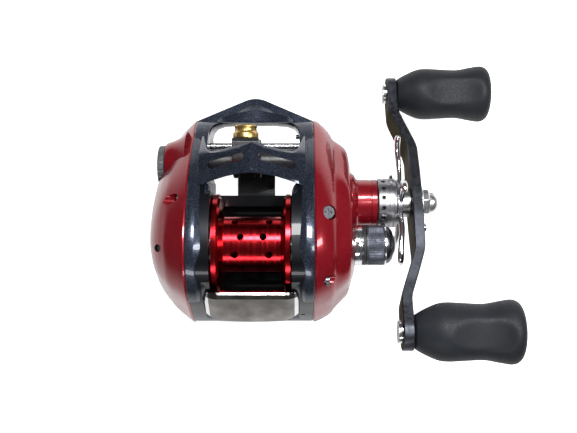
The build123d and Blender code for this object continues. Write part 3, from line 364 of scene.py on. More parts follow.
def turned_points(profile, at, sides, turn=0.0):
    """Points of a body turned about an axis along X, from (x, r) pairs."""
    points = []
    for x, r in profile:
        for k in range(sides):
            a = turn + 2 * math.pi * k / sides
            points.append((x, at[0] + r * math.cos(a), at[1] + r * math.sin(a)))
    return points


def turned(name, profile, at, material, body, sides=96, smooth=32):
    """A lathe-turned body, open profile capped at both ends."""
    faces = tube_faces(len(profile), sides)
    return build(name, turned_points(profile, at, sides), faces, material, body, smooth)


def turned_ring(name, profile, at, material, body, sides=96, smooth=30):
    """A lathe-turned ring, whose profile closes on itself."""
    faces = grid_faces(len(profile), sides, closed_rows=True, closed_columns=True)
    return build(name, turned_points(profile, at, sides), faces, material, body, smooth)


def rod_cutter(p, q, radius, sides=32):
    """A round cutter between two points."""
    a, b = Vector(p), Vector(q)
    axis = (b - a).normalized()
    side = axis.orthogonal().normalized()
    up = axis.cross(side)
    points = []
    for end in (a, b):
        for k in range(sides):
            t = 2 * math.pi * k / sides
            points.append(tuple(end + (side * math.cos(t) + up * math.sin(t)) * radius))
    return cutter(points, tube_faces(2, sides))


def catmull(p0, p1, p2, p3, t):
    """A point on the curve from p1 to p2, t from 0 to 1, shaped by its neighbours."""
    return tuple(
        0.5 * (2 * b + (c - a) * t + (2 * a - 5 * b + 4 * c - d) * t * t + (3 * b - a - 3 * c + d) * t ** 3)
        for a, b, c, d in zip(p0, p1, p2, p3)
    )


def smooth_loop(points, per_span):
    """A smooth closed line through the points."""
    n = len(points)
    made = []
    for i in range(n):
        four = [points[(i + k - 1) % n] for k in range(4)]
        made += [catmull(*four, j / per_span) for j in range(per_span)]
    return made


def smooth_line(points, per_span):
    """A smooth open line through the points."""
    padded = [points[0]] + list(points) + [points[-1]]
    made = []
    for i in range(len(points) - 1):
        made += [catmull(*padded[i:i + 4], j / per_span) for j in range(per_span)]
    return made + [tuple(points[-1])]


def read_line(table, x):
    """Straight-line reading of y at x from rising (x, y) pairs."""
    if x <= table[0][0]:
        return table[0][1]
    for (x0, y0), (x1, y1) in zip(table, table[1:]):
        if x <= x1:
            t = (x - x0) / (x1 - x0)
            return y0 + (y1 - y0) * t
    return table[-1][1]


LOOP = smooth_loop(OUTLINE, 12)


def top_edge(y):
    """Height of the side outline's upper line at y."""
    best = None
    for (y0, z0), (y1, z1) in zip(LOOP, LOOP[1:] + LOOP[:1]):
        if min(y0, y1) <= y <= max(y0, y1) and y0 != y1:
            z = z0 + (z1 - z0) * (y - y0) / (y1 - y0)
            best = z if best is None else max(best, z)
    return best


# ---- side plates ------------------------------------------------------------------------------
GEAR_STEPS = [   # x beyond the parting plane, size of the section, shift towards the back
    (0.0, 1.0, 0.0), (0.12, 1.004, 0.0), (0.5, 1.008, 0.0), (1.6, 0.992, 0.0),
    (3.2, 0.955, 0.2), (4.6, 0.915, 0.5), (5.5, 0.880, 0.7), (5.75, 0.862, 0.8),
    (6.3, 0.838, 0.7), (7.4, 0.806, 0.4), (8.6, 0.772, 0.1), (9.6, 0.742, 0.0),
    (10.3, 0.712, 0.0), (10.55, 0.690, 0.0), (10.9, 0.640, 0.1), (11.4, 0.560, 0.4),
    (12.0, 0.470, 0.8), (12.5, 0.360, 0.8), (12.75, 0.230, 0.5), (12.85, 0.100, 0.2),
]
PALM_STEPS = [
    (0.0, 1.0, 0.0), (0.12, 1.004, 0.0), (0.5, 1.006, 0.0), (1.4, 0.980, 0.0),
    (2.6, 0.944, 0.0), (4.0, 0.898, 0.1), (5.3, 0.852, 0.2), (6.4, 0.806, 0.2),
    (6.7, 0.788, 0.2), (7.6, 0.748, 0.3), (8.9, 0.676, 0.5), (10.1, 0.590, 0.7),
    (11.0, 0.498, 0.8), (11.7, 0.386, 0.8), (12.15, 0.250, 0.6), (12.35, 0.100, 0.3),
]
WALL = 1.4


def plate_rings(side, steps, wall):
    """Sections of a crowned side plate, with the ribs that fan out over its front half."""
    rings = []
    for x, size, back in steps:
        ring = []
        for y, z in LOOP:
            dy, dz = y - CENTRE[0], z - CENTRE[1]
            reach = math.hypot(dy, dz)
            angle = math.degrees(math.atan2(dz, dy))
            share = size + rib(side, size, angle)
            k = share - wall / reach
            across = side * (HALF_WIDTH + x - wall * 0.8)
            ring.append((across, CENTRE[0] + k * dy - back, CENTRE[1] + k * dz))
        rings.append(ring)
    return rings


def bell(value, middle, width):
    """1 at the middle, falling off to both sides."""
    return math.exp(-((value - middle) / width) ** 2)


def rib(side, size, angle):
    """Swelling of the shell, as a share of its size, at a section and a direction round it."""
    if side > 0:
        front = 0.030 * bell(angle, 18 + 60 * (1 - size), 15) * bell(size, 0.74, 0.11)
        back = 0.034 * bell(angle, 148 - 40 * (1 - size), 17) * bell(size, 0.72, 0.12)
        hollow = -0.030 * bell(angle, 74, 26) * bell(size, 0.76, 0.05)
        return front + back + hollow
    ridge = 0.022 * bell(angle, 30 + 90 * (1 - size), 18) * bell(size, 0.76, 0.1)
    return ridge + 0.012 * bell(angle, 120, 40) * bell(size, 0.8, 0.06)


def side_plate(name, side, steps, node, cutters):
    """One red shell, hollow, with its openings cut."""
    outer = plate_rings(side, steps, 0.0)
    columns = len(LOOP)
    points = [p for ring in outer for p in ring]
    inner = plate_rings(side, steps[:-3], WALL)
    points += [p for ring in reversed(inner) for p in ring]
    rows = len(outer) + len(inner)
    faces = grid_faces(rows, columns, closed_columns=True)
    faces = [f for f in faces if f[0] // columns != len(outer) - 1]
    faces.append(tuple((len(outer) - 1) * columns + j for j in range(columns)))
    faces.append(tuple(len(outer) * columns + j for j in reversed(range(columns))))
    last = (rows - 1) * columns
    faces += [(j, last + j, last + (j + 1) % columns, (j + 1) % columns) for j in range(columns)]
    plate = build(name, points, faces, RED, "frame_body", 24)
    carve(plate, cutters)
    resmooth(plate, 26)
    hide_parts(node)


def hole(side, x, y, z, radius, sides=32):
    """A round cutter along X, from x outwards past the shell."""
    return rod_cutter((side * x, y, z), (side * 40, y, z), radius, sides)


def gear_side_plate():
    """The handle-side shell, with the boss round the drive shaft and the cast cap's socket."""
    cuts = [hole(1, 21.1, y, z, 1.62) for y, z in SCREWS + [(-9.5, 38.2)]]
    cuts.append(hole(1, 28, *SPOOL_AXIS, 6.15, 64))
    cuts.append(hole(1, 28, *DRIVE_AXIS, 6.4, 64))
    cuts.append(rod_cutter((21.9, 9.7, 34.6), (24.6, 9.7, 50), 2.1, 48))
    side_plate("gear_side_shell", 1, GEAR_STEPS, "gear_side_plate", cuts)
    boss = [
        (27.0, 9.4), (29.6, 9.3), (30.4, 8.6), (30.9, 7.7), (31.4, 7.25), (35.1, 7.2), (35.2, 7.0),
        (35.45, 7.0), (35.55, 7.25), (37.0, 7.25), (37.2, 7.05), (37.2, 4.3), (30.0, 4.3), (27.0, 4.3),
    ]
    turned_ring("drive_boss", boss, DRIVE_AXIS, RED, "frame_body")
    socket = [(24.5, 5.35), (30.2, 5.35), (36.0, 5.35), (36.0, 4.0), (24.5, 4.0)]
    turned_ring("cap_socket", socket, SPOOL_AXIS, STEEL, "frame_body", 64)


def palm_side_plate():
    """The other shell, with its oil port and the flared seat of the brake dial."""
    cuts = [hole(-1, 20.05, y, z, 1.62) for y, z in SCREWS + [(13.4, 34.6)]]
    cuts.append(hole(-1, 24.9, *DIAL_AXIS, 6.75, 64))
    cuts.append(rod_cutter((-26.6, -0.5, 30), (-26.6, -0.5, 50), 1.1, 32))
    side_plate("palm_side_shell", -1, PALM_STEPS, "palm_side_plate", cuts)
    seat = [
        (-20.5, 10.6), (-22.0, 9.3), (-23.6, 8.3), (-25.2, 7.6), (-26.5, 7.25), (-26.9, 6.9),
        (-26.9, 2.1), (-24.9, 2.1), (-24.9, 5.6), (-20.5, 6.6),
    ]
    turned_ring("dial_seat", seat, DIAL_AXIS, RED, "frame_body", 64)


gear_side_plate()
palm_side_plate()


# ---- frame: rails, hood and nose bar -----------------------------------------------------------
def rail_path(y_from, y_to, count):
    """Points (y, z, outward y, outward z) along the top of the side outline."""
    made = []
    for i in range(count):
        y = y_from + (y_to - y_from) * i / (count - 1)
        slope = (top_edge(y + 0.2) - top_edge(y - 0.2)) / 0.4
        length = math.hypot(1, slope)
        made.append((y, top_edge(y), -slope / length, 1 / length))
    return made


RAIL_REAR = [   # x, height above the outline: outer shoulder, crease, inner facet, inner edge
    (FRAME_EDGE, -1.2), (FRAME_EDGE, 0.05), (17.9, 0.32), (17.0, 0.42), (15.75, 0.42), (15.45, 0.36),
    (13.0, -0.46), (12.2, -0.72), (11.75, -1.1), (11.62, -1.9), (11.62, -3.6),
]
RAIL_FRONT = [
    (FRAME_EDGE, -1.2), (FRAME_EDGE, 0.05), (17.9, 0.32), (17.2, 0.40), (16.4, 0.36), (16.1, 0.24),
    (15.0, -0.34), (14.4, -0.62), (14.05, -1.1), (13.86, -2.0), (13.86, -3.6),
]
RAIL_ENDS = (37.4, -15.8)
THUMB_GAP = 14.1           # beside the thumb bar the rail stays outside this x


def rail(side):
    """The shaped top of one rail, from the nose back past the thumb bar."""
    path = rail_path(*RAIL_ENDS, 120)
    points, columns = [], len(RAIL_REAR)
    for y, z, ny, nz in path:
        t = min(1.0, max(0.0, (21.5 - y) / 5.0))
        t = t * t * (3 - 2 * t)
        fade = min(1.0, max(0.0, (y - RAIL_ENDS[1]) / 5.0))
        for (xf, hf), (xr, hr) in zip(RAIL_FRONT, RAIL_REAR):
            x, h = xf + (xr - xf) * t, hf + (hr - hf) * t
            if y < -4.0 and x < THUMB_GAP:
                x = THUMB_GAP - (THUMB_GAP - x) * fade
            points.append((side * x, y + ny * h, z + nz * h))
    faces = tube_faces(len(path), columns)
    name = "rail_right" if side > 0 else "rail_left"
    build(name, points, faces, GUNMETAL, "frame_body", 14)


HOOD_REAR = [   # x from the middle, y of the hood's edge
    (0.0, 20.9), (3.5, 20.55), (7.0, 19.9), (11.0, 18.7), (14.2, 17.6), (FRAME_EDGE, 16.6),
]
HOOD_FRONT = [
    (0.0, 30.0), (2.5, 29.2), (6.0, 28.5), (9.5, 27.7), (12.0, 27.5), (13.4, 28.4), (14.4, 31.0),
    (15.2, 33.0), (FRAME_EDGE, 33.0),
]


HOOD_TOP = 38.9            # height of the ridge at y = HOOD_START
HOOD_START = 21.3
HOOD_FALL = 0.47           # how steeply the ridge falls towards the front
HOOD_ABOVE = 0.46          # height of the hood's sides above the side outline
HOOD_REACH = 15.8          # from this x outwards the hood is as low as its sides
HOOD_DROP = 6.5            # the most that the roof falls from its ridge, behind HOOD_BROW
HOOD_BROW = 27.0


def hood_height(x, y):
    """Height of the hood: a roof with a ridge in the middle that runs down onto the rails."""
    ridge = HOOD_TOP - HOOD_FALL * (y - HOOD_START)
    side = top_edge(min(max(y, -10.0), 37.0)) + HOOD_ABOVE
    t = (abs(x) / HOOD_REACH) ** 1.35
    if t >= 1:
        return side
    foot = max(side, ridge - HOOD_DROP - max(0.0, y - HOOD_BROW) * 1.2)
    return ridge + (foot - ridge) * t


def hood_section(x, rows):
    """Upper and lower points of the hood from back to front at x, with the keystone's step."""
    y0, y1 = read_line(HOOD_REAR, abs(x)), read_line(HOOD_FRONT, abs(x))
    thick = 2.5 - 0.9 * min(1.0, (abs(x) / 16.0) ** 2)
    top, low = [], []
    for j in range(rows):
        v = j / (rows - 1)
        y = y0 + (y1 - y0) * v
        key = 0.32 * min(1.0, max(0.0, (2.9 + 1.2 * v - abs(x)) / 0.7))
        rear, front = max(0.0, (0.10 - v) / 0.10), max(0.0, (v - 0.90) / 0.10)
        z = hood_height(x, y) + key - 0.55 * (rear ** 2 + front ** 2)
        top.append((x, y, z))
        low.append((x, y + (0.5 - v) * 1.2, z - thick))
    return top, low


def hood():
    """The chevron hood over the worm, with a raised keystone and two slots."""
    columns, rows = 97, 15
    top, low = [], []
    for i in range(columns):
        upper, under = hood_section(FRAME_EDGE * (2 * i / (columns - 1) - 1), rows)
        top += upper
        low += under
    n = len(top)
    upper = grid_faces(columns, rows)
    faces = upper + [tuple(n + k for k in reversed(f)) for f in upper]
    edge = list(range(rows)) + [i * rows + rows - 1 for i in range(1, columns)]
    edge += [(columns - 1) * rows + j for j in range(rows - 2, -1, -1)]
    edge += [i * rows for i in range(columns - 2, 0, -1)]
    faces += [(b, a, n + a, n + b) for a, b in zip(edge, edge[1:] + edge[:1])]
    cover = build("hood", top + low, faces, GUNMETAL, "frame_body", 24)
    carve(cover, [slot_cutter(side) for side in (-1, 1)])
    cover.data.set_sharp_from_angle(angle=math.radians(24))
    bevel(cover, 0.22, 2, 50)
    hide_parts("level_wind_hood")


def slot_cutter(side):
    """An upright obround cutter for one of the hood's slots."""
    middle = (side * 7.4, 24.5)
    half, radius = 4.3, 1.2
    turn = math.radians(-15 * side)
    c, s = math.cos(turn), math.sin(turn)
    ring = []
    for end in (1, -1):
        for k in range(17):
            a = -math.pi / 2 + math.pi * k / 16
            u, v = end * (half + radius * math.cos(a)), end * radius * math.sin(a)
            ring.append((middle[0] + u * c - v * s, middle[1] + u * s + v * c))
    points = [(x, y, z) for z in (24.0, 46.0) for x, y in ring]
    return cutter(points, tube_faces(2, len(ring)))


NOSE_FRONT = [   # x from the middle, y of the bar's edge
    (0.0, 45.95), (1.6, 45.8), (3.3, 45.2), (9.0, 42.7), (13.0, 40.9), (16.0, 39.6), (FRAME_EDGE, 38.6),
]
NOSE_BACK = [
    (0.0, 37.5), (6.0, 37.5), (10.0, 37.2), (12.2, 36.4), (13.3, 35.0), (13.8, 33.0), (FRAME_EDGE, 33.0),
]
NOSE_HALF = 18.1
NOSE_TOP = 11.6


def nose_section(x):
    """(y, z) points round the nose bar at x, rounded over its front edge."""
    front, back = read_line(NOSE_FRONT, abs(x)), read_line(NOSE_BACK, abs(x))
    side = min(1.0, abs(x) / NOSE_HALF)
    rail_z = top_edge(min(back, 37.2)) + 0.4
    back_z = NOSE_TOP + (rail_z - NOSE_TOP) * side ** 2
    mid_y, mid_z = back + (front - back) * 0.52, 10.4 - 0.3 * side
    return [
        (back, 3.4), (back, back_z - 1.0), (back + 0.25, back_z - 0.2), (back + 0.8, back_z),
        (mid_y, mid_z), (front - 1.9, 8.2), (front - 0.7, 7.2), (front - 0.1, 6.2), (front, 5.4),
        (front - 0.5, 4.4), (front - 1.8, 3.4), (mid_y, 2.6),
    ]


def nose_bar():
    """The pointed arch across the front."""
    rows = 121
    points = []
    for i in range(rows):
        x = NOSE_HALF * (2 * i / (rows - 1) - 1)
        points += [(x, y, z) for y, z in nose_section(x)]
    build("nose_bar", points, tube_faces(rows, 12), GUNMETAL, "frame_body", 22)


rail(1)
rail(-1)
hood()
nose_bar()


# ---- thumb bar ---------------------------------------------------------------------------------
def thumb_place(s, n):
    """(y, z) of a point s along the thumb bar's slide and n out from the spool axis."""
    return SPOOL_AXIS[0] + s * THUMB[0] + n * THUMB[1], SPOOL_AXIS[1] + s * THUMB[1] - n * THUMB[0]


THUMB_HALF = 13.55
THUMB_SEAT = 16.65         # distance of the bar's underside from the spool axis
# inside THUMB_WING the bar has the darker thumb chrome, a painted reflection; outside it the plain bright
# chrome
THUMB_WING = 12.3          # beyond this x the bar's ends are bright chrome


def thumb_section(x):
    """(s, n) points round the bar at x: steep front facet, broad face that bellies out, wings."""
    t = abs(x) / THUMB_HALF
    wing = max(0.0, (t - 0.72) / 0.28)
    drop = 1.5 * wing ** 1.6
    belly = 1.0 - t * t
    tail = 10.7 + 0.9 * belly - 1.4 * wing
    return [
        (-2.7 + 0.7 * wing, THUMB_SEAT), (-3.1 + 0.7 * wing, 17.4 - 0.3 * wing),
        (-2.9 + wing, 18.1 - drop), (-1.5 + wing, 18.8 - drop), (-1.1 + wing, 18.85 - drop),
        (2.0, 19.3 - drop + 0.2 * belly), (6.0, 19.75 - drop + 0.3 * belly),
        (tail - 1.0, 19.9 - drop + 0.2 * belly), (tail - 0.3, 19.5 - drop),
        (tail, 18.9 - drop * 0.8), (tail, THUMB_SEAT),
    ]


def thumb_bar():
    """The plated bar across the back."""
    rows = 73
    points = []
    for i in range(rows):
        x = THUMB_HALF * (2 * i / (rows - 1) - 1)
        points += [(x, *thumb_place(s, max(n, THUMB_SEAT))) for s, n in thumb_section(x)]
    bar = build("thumb_bar_plated", points, tube_faces(rows, 11), THUMB_CHROME_PAINTED_REFLECTION, "thumb", 12)
    # the middle takes the darker thumb chrome, a painted reflection; the ends beyond THUMB_WING take the
    # bright chrome
    bar.data.materials.append(CHROME)
    for face in bar.data.polygons:
        face.material_index = 1 if abs(face.center.x) > THUMB_WING * MM else 0
    bevel(bar, 0.18, 3, 25)
    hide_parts("thumb_bar")


def thumb_carrier():
    """The black slide under the bar, and the pin that moves the clutch."""
    corners = [
        (6.0, 13.9), (11.0, 13.9), (11.0, 11.7), (13.8, 11.7), (13.8, 16.4), (10.6, 17.0),
        (6.0, 17.0),
    ]
    points = [(x, *thumb_place(s, n)) for x in (-10.9, 10.9) for s, n in corners]
    carrier = build("thumb_carrier", points, tube_faces(2, len(corners)), PLASTIC, "thumb")
    bevel(carrier, 0.3, 2)
    at = thumb_place(12.0, 12.2)
    turned("thumb_pin", [(10.0, 0.75), (15.45, 0.75), (15.6, 0.6)], at, STEEL, "thumb", 24)


thumb_bar()
thumb_carrier()


# ---- star drag, handle and knobs ---------------------------------------------------------------
def polar(at, r, angle):
    """(y, z) of a point r from at, in the direction of angle."""
    return at[0] + r * math.cos(angle), at[1] + r * math.sin(angle)


STAR_ARM = [   # r, angle, half width, x, half thickness
    (5.2, 0.00, 2.5, 44.2, 0.8), (8.0, -0.08, 2.0, 44.35, 0.8), (10.5, -0.10, 1.65, 44.35, 0.82),
    (13.0, -0.07, 1.4, 44.15, 0.84), (15.5, -0.01, 1.3, 43.85, 0.88), (17.4, 0.05, 1.5, 43.7, 0.92),
    (18.9, 0.10, 1.75, 43.65, 0.94), (20.0, 0.14, 1.45, 43.65, 0.85), (20.6, 0.16, 0.8, 43.65, 0.5),
]
STAR_PHASE = math.radians(-2)


def rounded(value, power):
    """value, from -1 to 1, pushed outwards so that a circle becomes a rounded box."""
    return math.copysign(abs(value) ** power, value)


def star_arm(k):
    """One plated arm: it tapers, sweeps sideways and swells into a rounded tip."""
    path = smooth_line(STAR_ARM, 5)
    points, columns = [], 20
    for r, a, half, x, thick in path:
        middle = STAR_PHASE + k * math.radians(72) + a
        y, z = polar(DRIVE_AXIS, r, middle)
        for j in range(columns):
            t = 2 * math.pi * j / columns
            u, w = rounded(math.cos(t), 0.8) * half, rounded(math.sin(t), 0.8) * thick
            points.append((x + w, *polar((y, z), u, middle + math.pi / 2)))
    build(f"star_arm_{k}", points, tube_faces(len(path), columns), CHROME, "star", 60)


STAR_HUB = [
    (37.4, 6.9), (37.5, 7.3), (37.7, 7.45), (40.45, 7.45), (40.5, 7.25), (40.8, 7.25), (40.85, 7.45),
    (41.9, 7.45), (41.95, 7.2), (42.2, 7.2), (42.25, 7.45), (42.9, 7.4), (43.25, 7.0), (43.4, 6.5),
    (44.7, 6.4), (44.85, 6.2), (44.85, 3.1), (40.3, 3.1), (40.3, 5.7), (37.4, 5.7),
]


def star_drag():
    """The drilled satin hub, its black liner and the five arms."""
    hub = turned_ring("star_hub", STAR_HUB, DRIVE_AXIS, SATIN, "star", 128)
    holes = []
    for k in range(15):
        a = math.radians(24 * k + 6)
        inner, outer = polar(DRIVE_AXIS, 5.0, a), polar(DRIVE_AXIS, 8.6, a)
        holes.append(rod_cutter((39.0, *inner), (39.0, *outer), 0.65, 24))
    carve(hub, holes)
    resmooth(hub, 30)
    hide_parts("star_drag")
    liner = [(37.5, 5.72), (40.2, 5.72), (40.2, 5.6), (37.5, 5.6)]
    turned_ring("star_liner", liner, DRIVE_AXIS, PLASTIC, "star", 64, 40)
    for k in range(5):
        star_arm(k)


EYE_RADIUS = 5.3
HANDLE_LINE = [   # distance along the arm, x of its inner face
    (-50.0, 42.5), (-33.0, 42.5), (-18.3, 47.4), (18.3, 47.4), (33.0, 42.5), (50.0, 42.5),
]
HANDLE_WIDTH = [   # distance along the arm, half its width
    (0.0, 7.4), (7.5, 7.0), (18.0, 5.2), (28.0, 4.5), (36.0, 4.6), (HANDLE_HALF, EYE_RADIUS),
]


def handle_half_width(t):
    """Half the arm's width at t, which ends in a round eye."""
    if t > HANDLE_HALF:
        return math.sqrt(max(0.05, EYE_RADIUS ** 2 - (t - HANDLE_HALF) ** 2))
    return read_line(HANDLE_WIDTH, t)


def handle_point(t, width, x):
    """A point of the handle, t along the arm and width across it."""
    c, s = math.cos(HANDLE_TILT), math.sin(HANDLE_TILT)
    return x, DRIVE_AXIS[0] + t * c - width * s, DRIVE_AXIS[1] + t * s + width * c


def handle_arm():
    """The cranked double arm, polished on its broad faces and dark along its edges."""
    reach = HANDLE_HALF + EYE_RADIUS - 0.01
    stops = [reach * math.sin(math.pi / 2 * k / 70) for k in range(-70, 71)]
    points = []
    for t in stops:
        lows = [read_line(HANDLE_LINE, t + d) for d in (-1.6, -0.8, 0.0, 0.8, 1.6)]
        x0, half = sum(lows) / 5, handle_half_width(abs(t))
        x1, c = x0 + ARM_THICK, min(0.3, half * 0.4)
        section = [
            (half, x0 + c), (half, x1 - c), (half - c, x1), (half * 0.5, x1), (-half * 0.5, x1),
            (-half + c, x1), (-half, x1 - c), (-half, x0 + c), (-half + c, x0), (half - c, x0),
        ]
        points += [handle_point(t, w, x) for w, x in section]
    arm = build("handle_plate", points, tube_faces(len(stops), 10), HANDLE_EDGE, "crank", 28)
    arm.data.materials.append(HANDLE_FACE)
    for face in arm.data.polygons:
        face.material_index = 1 if abs(face.normal.x) > 0.8 else 0
    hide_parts("handle_arm")


def eye_cap(name, t):
    """The plated boss round one knob spindle, on the arm's inner face."""
    at = handle_point(t, 0.0, 0.0)[1:]
    line = [(41.45, 2.2), (41.5, 3.0), (41.7, 3.25), (42.4, 3.3), (42.5, 3.3)]
    turned(name, line, at, CHROME, "crank", 48)


def handle_nut():
    """The bright nut: a flange, a hexagon and a domed end."""
    line = [(50.62, 4.8), (51.1, 4.8), (51.25, 4.6)]
    flange = turned("nut_flange", line, DRIVE_AXIS, BRIGHT_NICKEL, "crank", 64)
    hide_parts("handle_nut")
    points = []
    for x, r in [(51.2, 4.3), (52.95, 4.3), (53.35, 3.95), (53.4, 3.4)]:
        for k in range(6):
            points.append((x, *polar(DRIVE_AXIS, r, 0.3 + k * math.pi / 3)))
    hexagon = build("nut_hexagon", points, tube_faces(4, 6), BRIGHT_NICKEL, "crank", 20)
    bevel(hexagon, 0.18, 3, 20)
    dome = [
        (53.3, 3.35), (53.9, 3.3), (54.6, 3.15), (55.2, 2.8), (55.7, 2.25), (56.1, 1.55),
        (56.32, 0.8), (56.4, 0.15),
    ]
    turned("nut_dome", dome, DRIVE_AXIS, BRIGHT_NICKEL, "crank", 64, 50)


KNOB_INNER = 45.8
KNOB_LINE = [   # x from the knob's inner end, r
    (0.0, 4.0), (0.25, 4.7), (0.8, 5.15), (3.0, 6.4), (6.5, 7.9), (9.5, 8.3), (14.0, 8.1),
    (19.5, 7.9), (24.0, 8.65), (27.0, 9.1), (28.7, 8.75), (29.8, 7.7), (30.4, 6.0), (30.6, 4.0),
    (30.62, 2.0), (30.62, 0.4),
]
FACET_MIDDLE = 17.6        # x from the knob's inner end
FACET_CURVE = 20.3         # each facet is part of a cylinder of this radius across the knob
FACET_CENTRE = 27.0        # distance of that cylinder's centre from the knob's axis
FACET_BLEND = 0.45         # how far from the facet's rim the surface starts to round over


def knob(name, node, body, end):
    """A waisted rubber grip with an oval facet above and below."""
    at = handle_point(HANDLE_HALF * end, 0.0, 0.0)[1:]
    line, columns, points = smooth_line(KNOB_LINE, 6), 96, []
    for x, r in line:
        along = min(FACET_CURVE - 0.1, abs(x - FACET_MIDDLE))
        cut = FACET_CENTRE - math.sqrt(FACET_CURVE ** 2 - along ** 2)
        for j in range(columns):
            a = 2 * math.pi * j / columns
            flat = cut / max(abs(math.sin(a)), 0.05)
            gap = max(0.0, FACET_BLEND - abs(flat - r))
            near = min(r, flat) - gap ** 2 / (4 * FACET_BLEND)
            points.append((KNOB_INNER + x, *polar(at, near, a)))
    grip = build(name, points, tube_faces(len(line), columns), RUBBER, body, 40)
    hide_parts(node)


star_drag()
handle_arm()
eye_cap("front_eye", -HANDLE_HALF)
eye_cap("rear_eye", HANDLE_HALF)
handle_nut()
knob("front_grip", "knob_front", "front_knob", -1)
knob("rear_grip", "knob_rear", "rear_knob", 1)


# ---- cast control cap ---------------------------------------------------------------------------
RIBS = 72


def cap_band():
    """The knurled band: RIBS shallow grooves that fade out near both ends."""
    sides, depth = 4 * RIBS, 0.13
    rim, edge = 5.92, 5.72
    band = [
        (33.4, edge, 0), (33.55, rim, 0), (34.0, rim, 0), (34.4, rim, 1), (38.2, rim, 1),
        (38.5, rim, 0), (38.7, rim, 0), (38.8, edge, 0),
    ]
    points = []
    for x, r, cut in band:
        for k in range(sides):
            groove = depth * cut * (k % 4 < 2)
            points.append((x, *polar(SPOOL_AXIS, r - groove, 2 * math.pi * k / sides)))
    build("cap_band", points, tube_faces(len(band), sides), GREY_METAL, "cast_cap", 25)


def cast_cap():
    """A plated skirt, a knurled band, a bright trim line and a dark dome."""
    skirt = [
        (30.0, 5.5), (30.0, 5.75), (30.15, 5.95), (31.0, 6.0), (31.1, 5.85), (31.3, 5.85),
        (31.4, 6.0), (32.2, 5.95), (32.35, 5.7), (32.35, 5.5),
    ]
    ring = turned("cap_skirt", skirt, SPOOL_AXIS, CHROME, "cast_cap", 96, 30)
    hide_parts("cast_control_cap")
    cap_band()
    trim = [(38.8, 5.6), (38.85, 5.95), (39.3, 5.95), (39.4, 5.7)]
    turned("cap_trim", trim, SPOOL_AXIS, CHROME, "cast_cap", 96, 30)
    dome = [
        (39.4, 5.6), (39.9, 5.5), (40.5, 5.15), (41.0, 4.6), (41.3, 4.2), (41.35, 3.9), (41.2, 3.7),
        (41.25, 3.4), (41.7, 3.0), (42.0, 2.2), (42.15, 1.2), (42.2, 0.2),
    ]
    turned("cap_dome", dome, SPOOL_AXIS, DARK_METAL, "cast_cap", 96, 35)


cast_cap()


# ---- level wind ---------------------------------------------------------------------------------
def turned_upright(name, profile, at, axis, material, body, sides=64, smooth=32):
    """A ring turned about an axis along Y or Z through at, from (distance along it, r) pairs."""
    points = []
    for along, r in profile:
        for k in range(sides):
            a = 2 * math.pi * k / sides
            c, s = r * math.cos(a), r * math.sin(a)
            if axis == "Y":
                points.append((at[0] + c, along, at[1] + s))
            else:
                points.append((at[0] + c, at[1] + s, along))
    faces = grid_faces(len(profile), sides, closed_rows=True, closed_columns=True)
    return build(name, points, faces, material, body, smooth)


def carriage_block(name, corners, half, hole_cutter, edge):
    """A black block of the carriage, from (y, z) corners, with one hole and rounded edges."""
    points = [(x, y, z) for x in (CARRIAGE_X - half, CARRIAGE_X + half) for y, z in corners]
    faces = tube_faces(2, len(corners))
    block = build(name, points, faces, PLASTIC, "carriage", 20)
    carve(block, [hole_cutter])
    bevel(block, edge, 3, 30)


def line_guide():
    """The black carriage on the worm."""
    x0, wy = CARRIAGE_X, WORM_AXIS[0]
    collar = [
        (x0 - 4.3, 3.97), (x0 - 4.3, 4.8), (x0 - 4.0, 5.1), (x0 - 2.6, 5.1), (x0 - 2.4, 4.9),
        (x0 + 2.4, 4.9), (x0 + 2.6, 5.1), (x0 + 4.0, 5.1), (x0 + 4.3, 4.8), (x0 + 4.3, 3.97),
    ]
    body = turned_ring("guide_collar", collar, WORM_AXIS, PLASTIC, "carriage", 72)
    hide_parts("line_guide_carriage")
    holder = [
        (wy - 1.0, 17.3), (wy - 1.0, 24.3), (wy + 0.2, 25.35), (30.9, 25.35), (32.0, 24.4),
        (32.0, 15.9), (29.6, 15.4),
    ]
    bore = rod_cutter((x0, 20, RING_Z), (x0, 36, RING_Z), 2.6, 48)
    carriage_block("ring_holder", holder, 4.0, bore, 0.45)
    eye = [(wy + 3.5, 7.9), (wy + 3.5, 14.2), (32.4, 14.2), (32.4, 7.9), (31.6, 7.6)]
    bore = rod_cutter((x0 - 6, *GUIDE_ROD), (x0 + 6, *GUIDE_ROD), 1.06, 32)
    carriage_block("rod_eye", eye, 4.2, bore, 0.35)
    cup = [(5.75, 2.35), (5.75, 2.8), (6.0, 2.95), (8.6, 2.95), (8.6, 2.35)]
    turned_upright("pawl_socket", cup, (x0, wy), "Z", PLASTIC, "carriage", 48)


def brass_ring():
    """The ring that the line runs through, with a narrower lip in front."""
    ring = [
        (32.05, 2.4), (32.05, 3.7), (32.2, 3.85), (33.5, 3.85), (33.75, 3.7), (34.0, 3.4),
        (34.3, 3.3), (35.1, 3.3), (35.35, 3.42), (35.7, 3.42), (35.95, 3.2), (36.0, 2.95),
        (35.8, 2.55), (35.3, 2.2), (34.8, 2.1), (32.6, 2.1),
    ]
    at = (CARRIAGE_X, RING_Z)
    brass = turned_upright("brass_ring", ring, at, "Y", BRASS, "carriage", 72, 36)
    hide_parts("line_guide_ring")


WORM_HALF = 13.6
WORM_LEAD = 6.4
WORM_RADIUS = 2.4
GROOVE_DEPTH = 0.5
GROOVE_END = 12.4          # the worm is plain beyond this x
GROOVE_HALF = 0.62         # half the groove's width, as an angle round the worm
GROOVE_WALL = 0.14         # the angle over which its wall runs down


